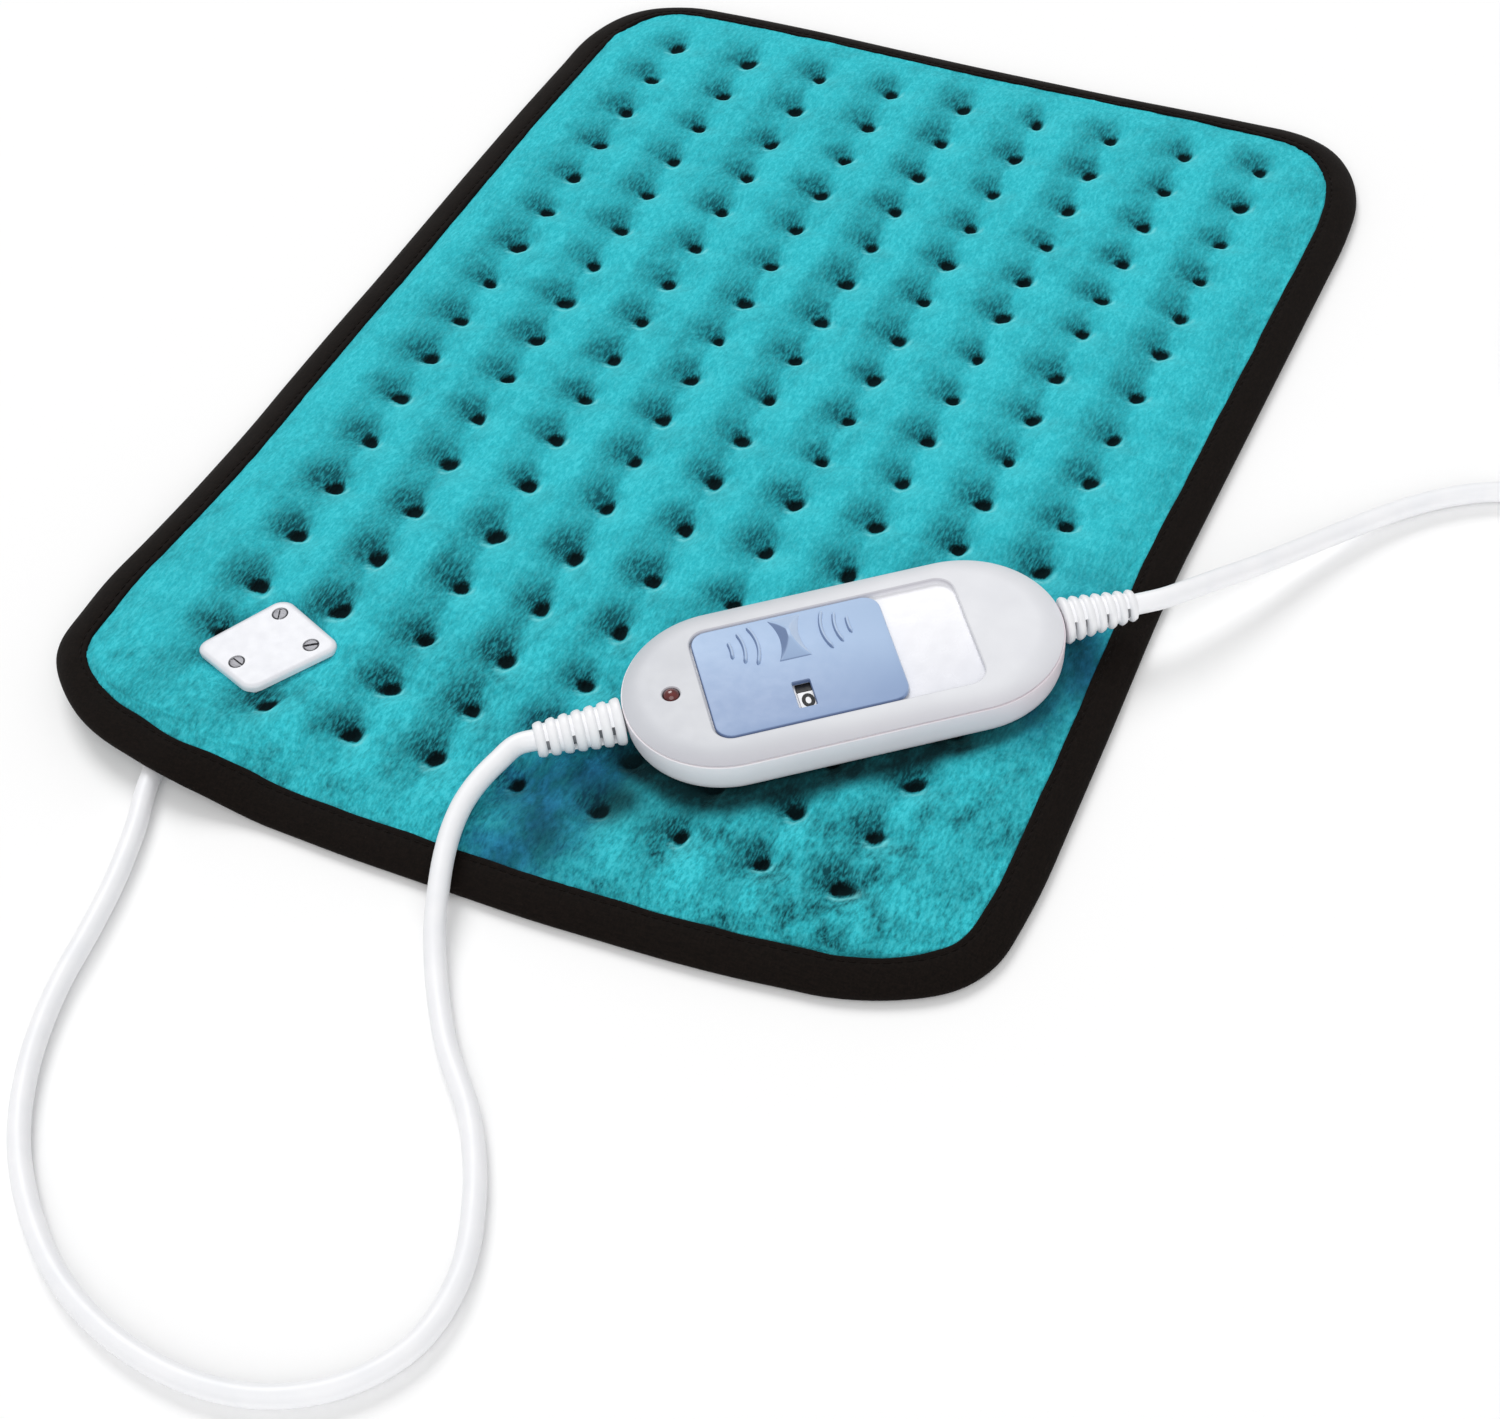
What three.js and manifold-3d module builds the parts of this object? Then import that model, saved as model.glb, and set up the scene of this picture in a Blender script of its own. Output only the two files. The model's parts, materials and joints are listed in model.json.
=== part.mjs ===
// Heating pad with a slide-switch controller on its lead. Millimetres, +Z up.
// Origin: the middle of the pad's underside. +Y runs along the pad to its far end.
import * as THREE from 'three';
import { mergeVertices } from 'three/addons/utils/BufferGeometryUtils.js';
import Module from 'manifold-3d';

const wasm = await Module();
wasm.setup();

// Pad: outline and the tufted field inside its borders
const padWidth = 300;
const padLength = 400;
const padCornerRadius = 40;
const borderLeft = 29.3;
const borderRight = 22.2;
const borderNear = 30.8;
const borderFar = 17.9;
const tuftColumns = 9;
const tuftRows = 17;
const cornerSteps = 3;
const gridCornerDrawn = 6;

// Pad: layers, from the floor up
const layerGap = 0.3;
const bottomCoverThickness = 1;
const feltThickness = 0.7;
const spreaderThickness = 0.6;
const heatingWireDiameter = 1;
const topCoverLeast = 0.6;
const crownRise = 3.4;
const valleyRise = 1.9;
const shoulderRise = 2.2;
const topEdgeThickness = 1.1;
const coverEdgeInset = 3;
const coverStepInset = 11.8;
const coverShoulderInset = 14.2;

// Edge binding: a tape folded over both covers
const bindingWidth = 11;
const bindingTape = 1;
const bindingSpine = 2.4;
const bindingBevel = 1.2;

// The near left corner stands on the lead and its clamp
const raisedHeight = 7;
const raisedFarFoot = 170;
const raisedFarRun = 95;
const raisedRightFoot = 113;
const raisedRightRun = 26;
const raisedPinch = 25;
const raisedPinchStart = 30.8;
const raisedPinchRun = 16.8;

// Clamp where the lead enters the pad: cover plate above, base below
const clampFromLeft = 65.2;
const clampFromNear = 50.5;
const clampAngle = -26;
const clampWidth = 27.6;
const clampDepth = 30;
const clampCorner = 4.5;
const clampPlateThickness = 2.4;
const clampPlateBevel = 0.8;
const clampPlateSeat = 5.4;
const clampBlockInset = 2.5;
const clampFlangeInset = 1.2;
const clampWall = 1.8;
const clampPocketWidth = 13;
const clampPocketDepth = 11;

// Screws
const clampScrewHead = 4.6;
const clampScrewShank = 2.6;
const clampScrewLength = 9;
const screwHeadHeight = 1.1;
const screwSlotWidth = 0.8;
const screwSlotDepth = 0.5;
const screwClearance = 0.3;

// Controller: outline and heights, in its own frame with its length along X
const controllerFromRight = 71.3;
const controllerFromNear = 102.4;
const controllerAngle = 38.4;
const controllerLength = 128.6;
const controllerWidth = 59.6;
const controllerHeight = 13.5;
const controllerSplit = 10.8;
const controllerWall = 2.2;
const controllerStep = 0.5;
const controllerFloor = 1.8;
const controllerRoof = 1.5;
const shellJointGap = 0.3;

// Slide switch
const recessFromLeft = 23;
const recessFromRight = 27.2;
const sliderWidth = 41.2;
const sliderThickness = 1.4;
const sliderCorner = 5;
const sliderStep = 7.2;
const sliderStops = 4;
const sliderClearance = 0.5;
const sliderPlayBelow = 0.3;
const sliderBelowFace = 0.1;
const windowWidth = 5.2;
const windowHeight = 9.8;
const windowFromCentre = 1;
const windowBelowCentre = 10.8;
const gripHeight = 1.6;
const gripRibWidth = 0.8;
const gripRibHeight = 0.45;
const neckLength = 3;
const neckWidth = 5;
const neckAboveCentre = 6;
const carrierLength = 16;
const carrierWidth = 14;
const carrierHeight = 2.4;

// Cords and strain reliefs
const cordDiameter = 6.2;
const cordSides = 8;
const reliefLength = 24;
const reliefRoot = 13.8;
const reliefTip = 10;
const reliefGroove = 1.5;
const reliefRibs = 7;
const reliefHeight = 6.9;
const reliefCollar = 2.6;
const reliefFlange = 2;
const reliefNeck = 6.8;
const meetGap = 0.3;

// Coil of spare mains lead and its plug
const coilCentreX = 267.5;
const coilCentreY = 110;
const coilPitch = 7;
const coilMeanRadius = 35.5;
const coilTurnsPerLayer = 2.875;
const coilStepsPerTurn = 24;
const coilSides = 6;
const coilStartAngle = -70;
const plugLength = 36;
const plugWidth = 35.3;
const plugHeight = 13.7;
const plugPinDiameter = 4;
const plugPinLength = 19;
const plugPinSpacing = 18.6;

// Pad details
const borderRise = 2.9;
const wireTurnSteps = 5;

// Clamp details
const clampScrewAcross = 8.7;
const clampScrewUp = 10;
const clampScrewLone = -0.8;
const clampFoot = 0.2;
const bootRoot = 12;
const bootTip = 8;
const bootLength = 20;
const bootFromCentre = 4;
const cutoutWidth = 5;
const cutoutHeight = 4;
const crimpDiameter = 2.2;
const crimpLength = 9;

// Controller shell details
const hullDrawn = [[2.3, 0], [1, 1.4], [0.4, 4]];
const domeDrawn = [[1.1, 0.8], [3.7, 1.7]];
const domeFlatDrawn = 7.7;
const lidHollow = 6;
const tubWall = 1.5;
const bossDiameter = 6;
const bossFromEnd = 18;
const bossFromAxis = 16.5;
const supportLength = 6;
const supportWidth = 18;
const housingScrewHead = 5.2;
const housingScrewShank = 2.8;
const housingScrewLength = 11;
const housingSlotAngle = 37;
const recessCorner = 5.5;
const labelThickness = 0.4;
const labelGap = 0.3;
const labelSunk = 0.1;
const stripBeyond = 3.5;
const indexShare = 0.34;
const ledDiameter = 4.6;
const ledFromEnd = 14.3;
const ledSkirt = 2;
const ledLeg = 0.8;
const ledLegSpread = 2.54;
const ledDomeShare = 0.8;

// Slider details
const sliderEdgeRound = 0.4;
const gripAboveCentre = 11;
const gripArcRadius = 17;
const gripWaistShare = 0.054;
const gripSpanShare = 0.43;
const gripPeakShare = 0.12;
const gripRibShares = [[0.161, 0.376], [0.233, 0.29], [0.301, 0.16]];
const detentBall = 2.4;
const detentFromNeck = 5;
const detentStand = 0.1;
const detentLeafThickness = 0.3;

// Circuit board and what stands on it
const boardFromLeft = 8;
const boardFromRight = 21;
const boardWidth = 26;
const boardCorner = 12;
const boardBottom = 3;
const boardThickness = 1.4;
const contactLength = 4.5;
const contactWidth = 3;
const contactThickness = 0.5;
const contactSpread = 3.2;
const bridgeLength = 3;
const bridgeThickness = 0.6;
const terminalLength = 8;
const terminalWidth = 12;
const terminalHeight = 4.8;
const terminalWell = 2.6;
const terminalFromEnd = 27;
const coreDiameter = 1.8;
const coreSpread = 3;
const coreStraight = 2.5;
const componentRow = 9;
const fuseDiameter = 5;
const fuseLength = 20;
const fuseX = 18;
const diodeDiameter = 2.7;
const diodeLength = 7;
const diodeX = 1;
const resistorDiameter = 2.4;
const resistorLength = 6.5;
const resistorX = -27;
const capacitorLength = 12;
const capacitorWidth = 5;
const capacitorHeight = 4.8;
const capacitorX = -14;

// Strain relief details
const reliefInside = 7.8;
const reliefStandOff = 0.3;
const reliefFlangeDiameter = 8;
const reliefGrooveDepth = 1.2;
const reliefBoreReach = 6;

// Cord details
const cordRest = 3.2;
const coilRest = 4.05;
const padLeadSteps = 52;
const mainsLeadSteps = 16;
const tailSteps = 8;
const plugX = 262;
const plugY = 184;
const plugAngle = 180;
const plugRest = 0.1;
const plugShares = [[0.26, 0.68], [0.3, 0.72], [0.62, 0.86], [0.94, 1], [1, 1], [1, 1], [0.95, 0.9]];
const plugRoundShare = 0.33;
const tieWidth = 9;
const tieThickness = 0.6;
const tieClearance = 0.4;
const tieAngle = 100;

// Round pieces
const smallSides = 12;
const overrun = 2;

// Worked-out sizes of the pad
const gridLeft = -padWidth / 2 + borderLeft;
const gridRight = padWidth / 2 - borderRight;
const gridNear = -padLength / 2 + borderNear;
const gridFar = padLength / 2 - borderFar;
const feltBottom = bottomCoverThickness + layerGap;
const wireBottom = feltBottom + feltThickness + layerGap;
const spreaderBottom = wireBottom + heatingWireDiameter + layerGap;
const topCoverBottom = spreaderBottom + spreaderThickness + layerGap;
const pitHeight = topCoverBottom + topCoverLeast;
const crownHeight = pitHeight + crownRise;
const bottomEdge = bindingTape + layerGap;
const topEdge = bottomEdge + bottomCoverThickness + layerGap;
const bindingHeight = topEdge + topEdgeThickness + layerGap + bindingTape;

const bootStart = clampDepth / 2 - clampFlangeInset + layerGap;
const ledX = -controllerLength / 2 + ledFromEnd;

const root = new THREE.Group();

// Materials
const plushMaterial = makeMaterial(0x3cbfcd, 0.95, 0);
const backPlushMaterial = makeMaterial(0x38b2c0, 0.95, 0);
const bindingMaterial = makeMaterial(0x1a1411, 0.85, 0);
const feltMaterial = makeMaterial(0xe6e1d6, 0.95, 0);
const wireMaterial = makeMaterial(0xc94f3d, 0.6, 0);
const whiteMaterial = makeMaterial(0xf4f5f9, 0.35, 0);
const housingMaterial = makeMaterial(0xe1e5e6, 0.4, 0);
const housingLowMaterial = makeMaterial(0xd3d7da, 0.4, 0);
const sliderMaterial = makeMaterial(0xa9bcdf, 0.4, 0);
const darkMaterial = makeMaterial(0x23262b, 0.5, 0);
const cordMaterial = makeMaterial(0xf1f2f4, 0.45, 0);
const steelMaterial = makeMaterial(0x9aa0a6, 0.35, 1);
const brassMaterial = makeMaterial(0xc8a45c, 0.35, 1);
const boardMaterial = makeMaterial(0x2f7a4d, 0.6, 0);
const ledMaterial = makeMaterial(0x7a1f1c, 0.2, 0);
const glassMaterial = makeMaterial(0xcfd8dc, 0.1, 0);

function makeMaterial(color, roughness, metalness) {
  return new THREE.MeshStandardMaterial({ color, roughness, metalness });
}

function addPart(name, geometry, material, parent = root) {
  const mesh = new THREE.Mesh(geometry, material);
  mesh.name = name;
  parent.add(mesh);
  return mesh;
}

// Booleans

function toSolid(geometry) {
  const bare = geometry.clone();
  bare.deleteAttribute('normal');
  bare.deleteAttribute('uv');
  const merged = mergeVertices(bare);
  const index = merged.index.array;
  return new wasm.Manifold(new wasm.Mesh({
    numProp: 3,
    vertProperties: new Float32Array(merged.attributes.position.array),
    triVerts: new Uint32Array(index),
  }));
}

function toGeometry(solid) {
  const mesh = solid.getMesh();
  return indexed(Array.from(mesh.vertProperties), Array.from(mesh.triVerts));
}

function indexed(positions, faces) {
  const geometry = new THREE.BufferGeometry();
  geometry.setAttribute('position', new THREE.Float32BufferAttribute(positions, 3));
  geometry.setIndex(faces);
  geometry.computeVertexNormals();
  return geometry;
}

function cut(geometry, ...tools) {
  return toGeometry(tools.reduce((solid, tool) => solid.subtract(toSolid(tool)), toSolid(geometry)));
}

function join(geometry, ...others) {
  return toGeometry(others.reduce((solid, other) => solid.add(toSolid(other)), toSolid(geometry)));
}

// Outlines and simple bodies

function roundedOutline(length, width, radius, steps = 6) {
  const points = [];
  const middleX = length / 2 - radius;
  const middleY = width / 2 - radius;
  const corners = [[1, 1], [-1, 1], [-1, -1], [1, -1]];
  corners.forEach(([signX, signY], quarter) => {
    for (let step = 0; step <= steps; step += 1) {
      const angle = (quarter + step / steps) * Math.PI / 2;
      const x = signX * middleX + radius * Math.cos(angle);
      const y = signY * middleY + radius * Math.sin(angle);
      points.push(new THREE.Vector2(x, y));
    }
  });
  return points;
}

function prism(outline, low, high) {
  const shape = new THREE.Shape(outline);
  const geometry = new THREE.ExtrudeGeometry(shape, { depth: high - low, bevelEnabled: false });
  return geometry.translate(0, 0, low);
}

function block(length, width, low, high, radius, x = 0, y = 0, steps = 3) {
  return prism(roundedOutline(length, width, radius, steps), low, high).translate(x, y, 0);
}

function post(diameter, low, high, x = 0, y = 0, sides = smallSides) {
  const geometry = new THREE.CylinderGeometry(diameter / 2, diameter / 2, high - low, sides);
  return geometry.rotateX(Math.PI / 2).translate(x, y, (low + high) / 2);
}

function rodAlongX(diameter, from, to, sides = smallSides) {
  const geometry = new THREE.CylinderGeometry(diameter / 2, diameter / 2, to - from, sides);
  return geometry.rotateZ(Math.PI / 2).translate((from + to) / 2, 0, 0);
}

// A body through level outlines with the same number of points, closed at both ends
function loft(levels) {
  const count = levels[0].outline.length;
  const positions = [];
  const faces = [];
  levels.forEach(({ outline, z }) => outline.forEach((point) => positions.push(point.x, point.y, z)));
  for (let level = 0; level + 1 < levels.length; level += 1) {
    for (let i = 0; i < count; i += 1) {
      const low = level * count + i;
      const lowNext = level * count + (i + 1) % count;
      faces.push(low, lowNext, lowNext + count);
      faces.push(low, lowNext + count, low + count);
    }
  }
  const last = (levels.length - 1) * count;
  THREE.ShapeUtils.triangulateShape(levels[0].outline, []).forEach(([a, b, c]) => faces.push(a, c, b));
  THREE.ShapeUtils.triangulateShape(levels.at(-1).outline, []).forEach(([a, b, c]) => (
    faces.push(last + a, last + b, last + c)
  ));
  return indexed(positions, faces);
}

function lathe(profile, sides) {
  const points = profile.map(([radius, height]) => new THREE.Vector2(radius, height));
  return new THREE.LatheGeometry(points, sides);
}

function circleShape(diameter, sides) {
  const points = [];
  for (let side = 0; side < sides; side += 1) {
    const angle = (side + 0.5) / sides * 2 * Math.PI;
    points.push(new THREE.Vector2(Math.cos(angle), Math.sin(angle)).multiplyScalar(diameter / 2));
  }
  return new THREE.Shape(points);
}

function tube(points, diameter, sides, steps) {
  const path = new THREE.CatmullRomCurve3(points, false, 'centripetal');
  return new THREE.ExtrudeGeometry(circleShape(diameter, sides), { steps, extrudePath: path });
}

function smooth(value) {
  const t = Math.min(Math.max(value, 0), 1);
  return t * t * (3 - 2 * t);
}

// How far the pad's underside stands off the floor at a place
function raised(x, y) {
  const beyond = -padLength / 2 + raisedPinchStart - y;
  const foot = -padWidth / 2 + raisedRightFoot - raisedPinch * smooth(beyond / raisedPinchRun);
  const across = smooth((foot - x) / raisedRightRun);
  const along = smooth((-padLength / 2 + raisedFarFoot - y) / raisedFarRun);
  return raisedHeight * across * along;
}

// Pad: all layers share one grid of columns and rows and the same rings around it

function lines(count, low, high) {
  return Array.from({ length: count + 1 }, (_, i) => low + (high - low) * i / count);
}

const columnLines = lines(tuftColumns, gridLeft, gridRight);
const rowLines = lines(tuftRows, gridNear, gridFar);
const sideCentreX = padWidth / 2 - padCornerRadius;
const sideCentreY = padLength / 2 - padCornerRadius;
const perimeter = 2 * (padWidth + padLength);
const sides = [
  { along: [1, 0], out: [0, -1], half: sideCentreX, low: gridLeft, high: gridRight, lines: columnLines },
  { along: [0, 1], out: [1, 0], half: sideCentreY, low: gridNear, high: gridFar, lines: rowLines },
  {
    along: [-1, 0], out: [0, 1], half: sideCentreX,
    low: -gridRight, high: -gridLeft, lines: flip(columnLines),
  },
  {
    along: [0, -1], out: [-1, 0], half: sideCentreY,
    low: -gridFar, high: -gridNear, lines: flip(rowLines),
  },
];

function flip(values) {
  return values.map((value) => -value).reverse();
}

function sideSpan(side) {
  return side.along[0] === 0 ? padLength : padWidth;
}

// The place along the perimeter that a coordinate of one side stands for
function sideTurn(index, value) {
  const side = sides[index];
  const before = sides.slice(0, index).reduce((sum, item) => sum + sideSpan(item), 0);
  return before + sideSpan(side) * (value - side.low) / (side.high - side.low);
}

// One ring around the pad at a distance inside its outer edge
function padRing(inset, steps = cornerSteps) {
  const points = [];
  sides.forEach((side, index) => {
    const reach = (side.along[0] === 0 ? padWidth : padLength) / 2 - inset;
    const inner = side.lines.filter((value) => Math.abs(value) < side.half);
    const place = (value) => points.push({
      x: side.along[0] * value + side.out[0] * reach,
      y: side.along[1] * value + side.out[1] * reach,
      turn: sideTurn(index, value),
    });
    [-side.half, ...inner, side.half].forEach(place);
    const next = sides[(index + 1) % sides.length];
    const start = sideTurn(index, side.half);
    const end = sideTurn((index + 1) % sides.length, -next.half) + (index === 3 ? perimeter : 0);
    for (let step = 1; step < steps; step += 1) {
      const angle = step / steps * Math.PI / 2;
      const radius = padCornerRadius - inset;
      const out = [0, 1].map((k) => side.out[k] * Math.cos(angle) + next.out[k] * Math.sin(angle));
      points.push({
        x: side.along[0] * side.half + next.along[0] * -next.half + radius * out[0],
        y: side.along[1] * side.half + next.along[1] * -next.half + radius * out[1],
        turn: start + (end - start) * step / steps,
      });
    }
  });
  points.forEach((point) => {
    point.turn = (point.turn + perimeter) % perimeter;
    point.lift = raised(point.x, point.y);
  });
  return points.sort((a, b) => a.turn - b.turn);
}

// Faces between two rings of vertices, each ordered by its turn around the pad
function bridge(inner, outer) {
  const faces = [];
  const turnOf = (ring, i) => ring[i % ring.length].turn + (i >= ring.length ? perimeter : 0);
  let i = 0;
  let j = 0;
  while (i < inner.length || j < outer.length) {
    const a = inner[i % inner.length].id;
    const b = outer[j % outer.length].id;
    const moveInner = j >= outer.length
      || (i < inner.length && turnOf(inner, i + 1) <= turnOf(outer, j + 1));
    if (moveInner) {
      faces.push([a, b, inner[(i + 1) % inner.length].id]);
      i += 1;
    } else {
      faces.push([a, b, outer[(j + 1) % outer.length].id]);
      j += 1;
    }
  }
  return faces;
}

// One face of a layer: the grid in whole or half cells, then rings towards the edge
function layerSurface(parts, heightAt, ringHeights) {
  const vertices = [];
  const faces = [];
  const columns = tuftColumns * parts;
  const rows = tuftRows * parts;
  const between = (values, k) => (values[Math.floor(k / parts)] + values[Math.ceil(k / parts)]) / 2;
  const id = (p, q) => q * (columns + 1) + p;
  for (let q = 0; q <= rows; q += 1) {
    for (let p = 0; p <= columns; p += 1) {
      const low = raised(columnLines[Math.floor(p / parts)], rowLines[Math.floor(q / parts)]);
      const high = raised(columnLines[Math.ceil(p / parts)], rowLines[Math.ceil(q / parts)]);
      const z = heightAt(p, q, columns, rows) + (low + high) / 2;
      const corner = p % columns === 0 && q % rows === 0;
      const drawn = corner ? gridCornerDrawn : 0;
      const [x, y] = [between(columnLines, p), between(rowLines, q)];
      vertices.push([x - Math.sign(x) * drawn, y - Math.sign(y) * drawn, z]);
    }
  }
  for (let q = 0; q < rows; q += 1) {
    for (let p = 0; p < columns; p += 1) {
      const [a, b, c, d] = [id(p, q), id(p + 1, q), id(p + 1, q + 1), id(p, q + 1)];
      const crossed = parts === 2 && (p + q) % 2 === 1;
      faces.push(...(crossed ? [[a, b, d], [b, c, d]] : [[a, b, c], [a, c, d]]));
    }
  }
  let rim = gridRim(columns, rows, id, parts);
  ringHeights.forEach(({ inset, z }) => {
    const ring = padRing(inset);
    ring.forEach((point) => {
      point.id = vertices.length;
      vertices.push([point.x, point.y, z + point.lift]);
    });
    faces.push(...bridge(rim, ring));
    rim = ring;
  });
  return { vertices, faces, rim };
}

function gridRim(columns, rows, id, parts) {
  const rim = [];
  const turn = (index, k, count) => {
    const { low, high } = sides[index];
    return sideTurn(index, low + (high - low) * k / count);
  };
  for (let p = 0; p < columns; p += 1) rim.push({ id: id(p, 0), turn: turn(0, p, columns) });
  for (let q = 0; q < rows; q += 1) rim.push({ id: id(columns, q), turn: turn(1, q, rows) });
  for (let p = 0; p < columns; p += 1) rim.push({ id: id(columns - p, rows), turn: turn(2, p, columns) });
  for (let q = 0; q < rows; q += 1) rim.push({ id: id(0, rows - q), turn: turn(3, q, rows) });
  return rim;
}

function layer(top, bottom) {
  const offset = top.vertices.length;
  const lower = bottom.rim.map((point) => ({ ...point, id: point.id + offset }));
  const faces = [
    ...top.faces,
    ...bottom.faces.map(([a, b, c]) => [a + offset, c + offset, b + offset]),
    ...bridge(top.rim, lower),
  ];
  return indexed([...top.vertices, ...bottom.vertices].flat(), faces.flat());
}

// Pad pieces

const smoothCells = [[0, 0], [1, 1]];

function tuftHeight(p, q, columns, rows) {
  if (p === 0 || q === 0 || p === columns || q === rows) return pitHeight + borderRise;
  const tufted = !smoothCells.some(([column, row]) => p === 2 * column + 1 && q === 2 * row + 1);
  if (p % 2 === 1 && q % 2 === 1 && tufted) return pitHeight;
  if (p % 2 === 1 && tufted) return pitHeight + valleyRise;
  return crownHeight;
}

function plateOutline(inset, extra = 0) {
  const radius = Math.max(clampCorner - inset, clampWall) + extra;
  const grow = 2 * (extra - inset);
  return roundedOutline(clampWidth + grow, clampDepth + grow, radius, 4);
}

// Turns a body of the clamp's own frame into the pad's frame
function atClamp(geometry) {
  const angle = THREE.MathUtils.degToRad(clampAngle);
  const x = -padWidth / 2 + clampFromLeft;
  const y = -padLength / 2 + clampFromNear;
  return geometry.rotateZ(angle).translate(x, y, 0);
}

const plateUnder = raisedHeight + clampPlateSeat;
const plateTop = plateUnder + clampPlateThickness;
const clampOpening = () => atClamp(prism(plateOutline(clampBlockInset, layerGap), -overrun, plateTop));
const platePress = () => (
  atClamp(prism(plateOutline(0, layerGap), plateUnder - layerGap, plateTop + crownHeight))
);

function makeTopCover() {
  const topEdgeTop = topEdge + topEdgeThickness;
  const top = layerSurface(2, tuftHeight, [
    { inset: coverShoulderInset, z: pitHeight + shoulderRise },
    { inset: coverStepInset, z: topEdgeTop },
    { inset: coverEdgeInset, z: topEdgeTop },
  ]);
  const bottom = layerSurface(1, () => topCoverBottom, [
    { inset: coverStepInset, z: topEdge },
    { inset: coverEdgeInset, z: topEdge },
  ]);
  return cut(layer(top, bottom), clampOpening(), platePress());
}

function makeBottomCover() {
  const upperEdge = bottomEdge + bottomCoverThickness;
  const top = layerSurface(1, () => bottomCoverThickness, [
    { inset: coverStepInset, z: upperEdge },
    { inset: coverEdgeInset, z: upperEdge },
  ]);
  const bottom = layerSurface(1, () => 0, [
    { inset: coverShoulderInset, z: 0 },
    { inset: coverStepInset, z: bottomEdge },
    { inset: coverEdgeInset, z: bottomEdge },
  ]);
  return cut(layer(top, bottom), clampOpening());
}

function makeFelt(low, thickness) {
  const top = layerSurface(1, () => low + thickness, []);
  const bottom = layerSurface(1, () => low, []);
  return cut(layer(top, bottom), clampOpening());
}

function makeBinding() {
  const section = [
    [bindingWidth, 0],
    [bindingBevel, 0],
    [0, bindingBevel],
    [0, bindingHeight - bindingBevel],
    [bindingBevel, bindingHeight],
    [bindingWidth, bindingHeight],
    [bindingWidth, bindingHeight - bindingTape],
    [bindingSpine, bindingHeight - bindingTape],
    [bindingSpine, bindingTape],
    [bindingWidth, bindingTape],
  ];
  const rings = section.map(([inset, z]) => (
    padRing(inset, 2 * cornerSteps).map(({ x, y, lift }) => [x, y, z + lift])
  ));
  const stations = rings[0].length;
  const faces = [];
  for (let k = 0; k < section.length; k += 1) {
    const next = (k + 1) % section.length;
    for (let i = 0; i < stations; i += 1) {
      const [a, b] = [k * stations + i, k * stations + (i + 1) % stations];
      const [c, d] = [next * stations + (i + 1) % stations, next * stations + i];
      faces.push(a, c, d, a, b, c);
    }
  }
  return indexed(rings.flat(2), faces);
}

// Lift of the layers at any place inside the grid, the same as their flat faces give
function liftInside(x, y) {
  const i = Math.min(Math.floor((x - gridLeft) / (gridRight - gridLeft) * tuftColumns), tuftColumns - 1);
  const j = Math.min(Math.floor((y - gridNear) / (gridFar - gridNear) * tuftRows), tuftRows - 1);
  const fx = (x - columnLines[i]) / (columnLines[i + 1] - columnLines[i]);
  const fy = (y - rowLines[j]) / (rowLines[j + 1] - rowLines[j]);
  const [a, b] = [raised(columnLines[i], rowLines[j]), raised(columnLines[i + 1], rowLines[j])];
  const [c, d] = [raised(columnLines[i + 1], rowLines[j + 1]), raised(columnLines[i], rowLines[j + 1])];
  return fx >= fy ? a + fx * (b - a) + fy * (c - b) : a + fy * (d - a) + fx * (c - d);
}

// The heating wire runs up and down the ridges between the tuft columns
function makeHeatingWire() {
  const reach = (columnLines[2] - columnLines[1]) / 2;
  const foot = -padLength / 2 + raisedFarFoot + rowLines[1] - rowLines[0];
  const path = [];
  for (let column = 1; column < tuftColumns; column += 1) {
    const upward = column % 2 === 1;
    const first = column === 1 ? 3 : 1;
    const rows = rowLines.slice(first, tuftRows);
    const knots = rows.filter((y, i) => i === 0 || i === rows.length - 1 || y < foot);
    const run = (upward ? knots : knots.reverse()).map((y) => [columnLines[column], y]);
    path.push(...run);
    if (column === tuftColumns - 1) break;
    const [x, y] = run[run.length - 1];
    for (let step = 1; step < wireTurnSteps; step += 1) {
      const angle = step / wireTurnSteps * Math.PI;
      const bulge = (upward ? 1 : -1) * reach * Math.sin(angle);
      path.push([x + reach - reach * Math.cos(angle), y + bulge]);
    }
  }
  const middle = wireBottom + heatingWireDiameter / 2;
  const points = path.map(([x, y]) => new THREE.Vector3(x, y, middle + liftInside(x, y)));
  return mitredTube(points, heatingWireDiameter / 2, 6);
}

// A tube whose rings stand upright in the bisecting plane at each point of a nearly level path
function mitredTube(points, radius, sides) {
  const positions = [];
  const faces = [];
  const up = new THREE.Vector3(0, 0, 1);
  points.forEach((point, i) => {
    const before = points[Math.max(i - 1, 0)];
    const after = points[Math.min(i + 1, points.length - 1)];
    const tangent = new THREE.Vector3().subVectors(after, before).normalize();
    const across = new THREE.Vector3().crossVectors(up, tangent).normalize();
    const rise = new THREE.Vector3().crossVectors(tangent, across);
    for (let side = 0; side < sides; side += 1) {
      const angle = (side + 0.5) / sides * 2 * Math.PI;
      const place = point.clone()
        .addScaledVector(across, radius * Math.cos(angle))
        .addScaledVector(rise, radius * Math.sin(angle));
      positions.push(place.x, place.y, place.z);
    }
  });
  for (let i = 0; i + 1 < points.length; i += 1) {
    for (let side = 0; side < sides; side += 1) {
      const [a, b] = [i * sides + side, i * sides + (side + 1) % sides];
      faces.push(a, b, b + sides, a, b + sides, a + sides);
    }
  }
  const last = (points.length - 1) * sides;
  for (let side = 1; side + 1 < sides; side += 1) {
    faces.push(0, side + 1, side);
    faces.push(last, last + side, last + side + 1);
  }
  return indexed(positions, faces);
}

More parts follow.
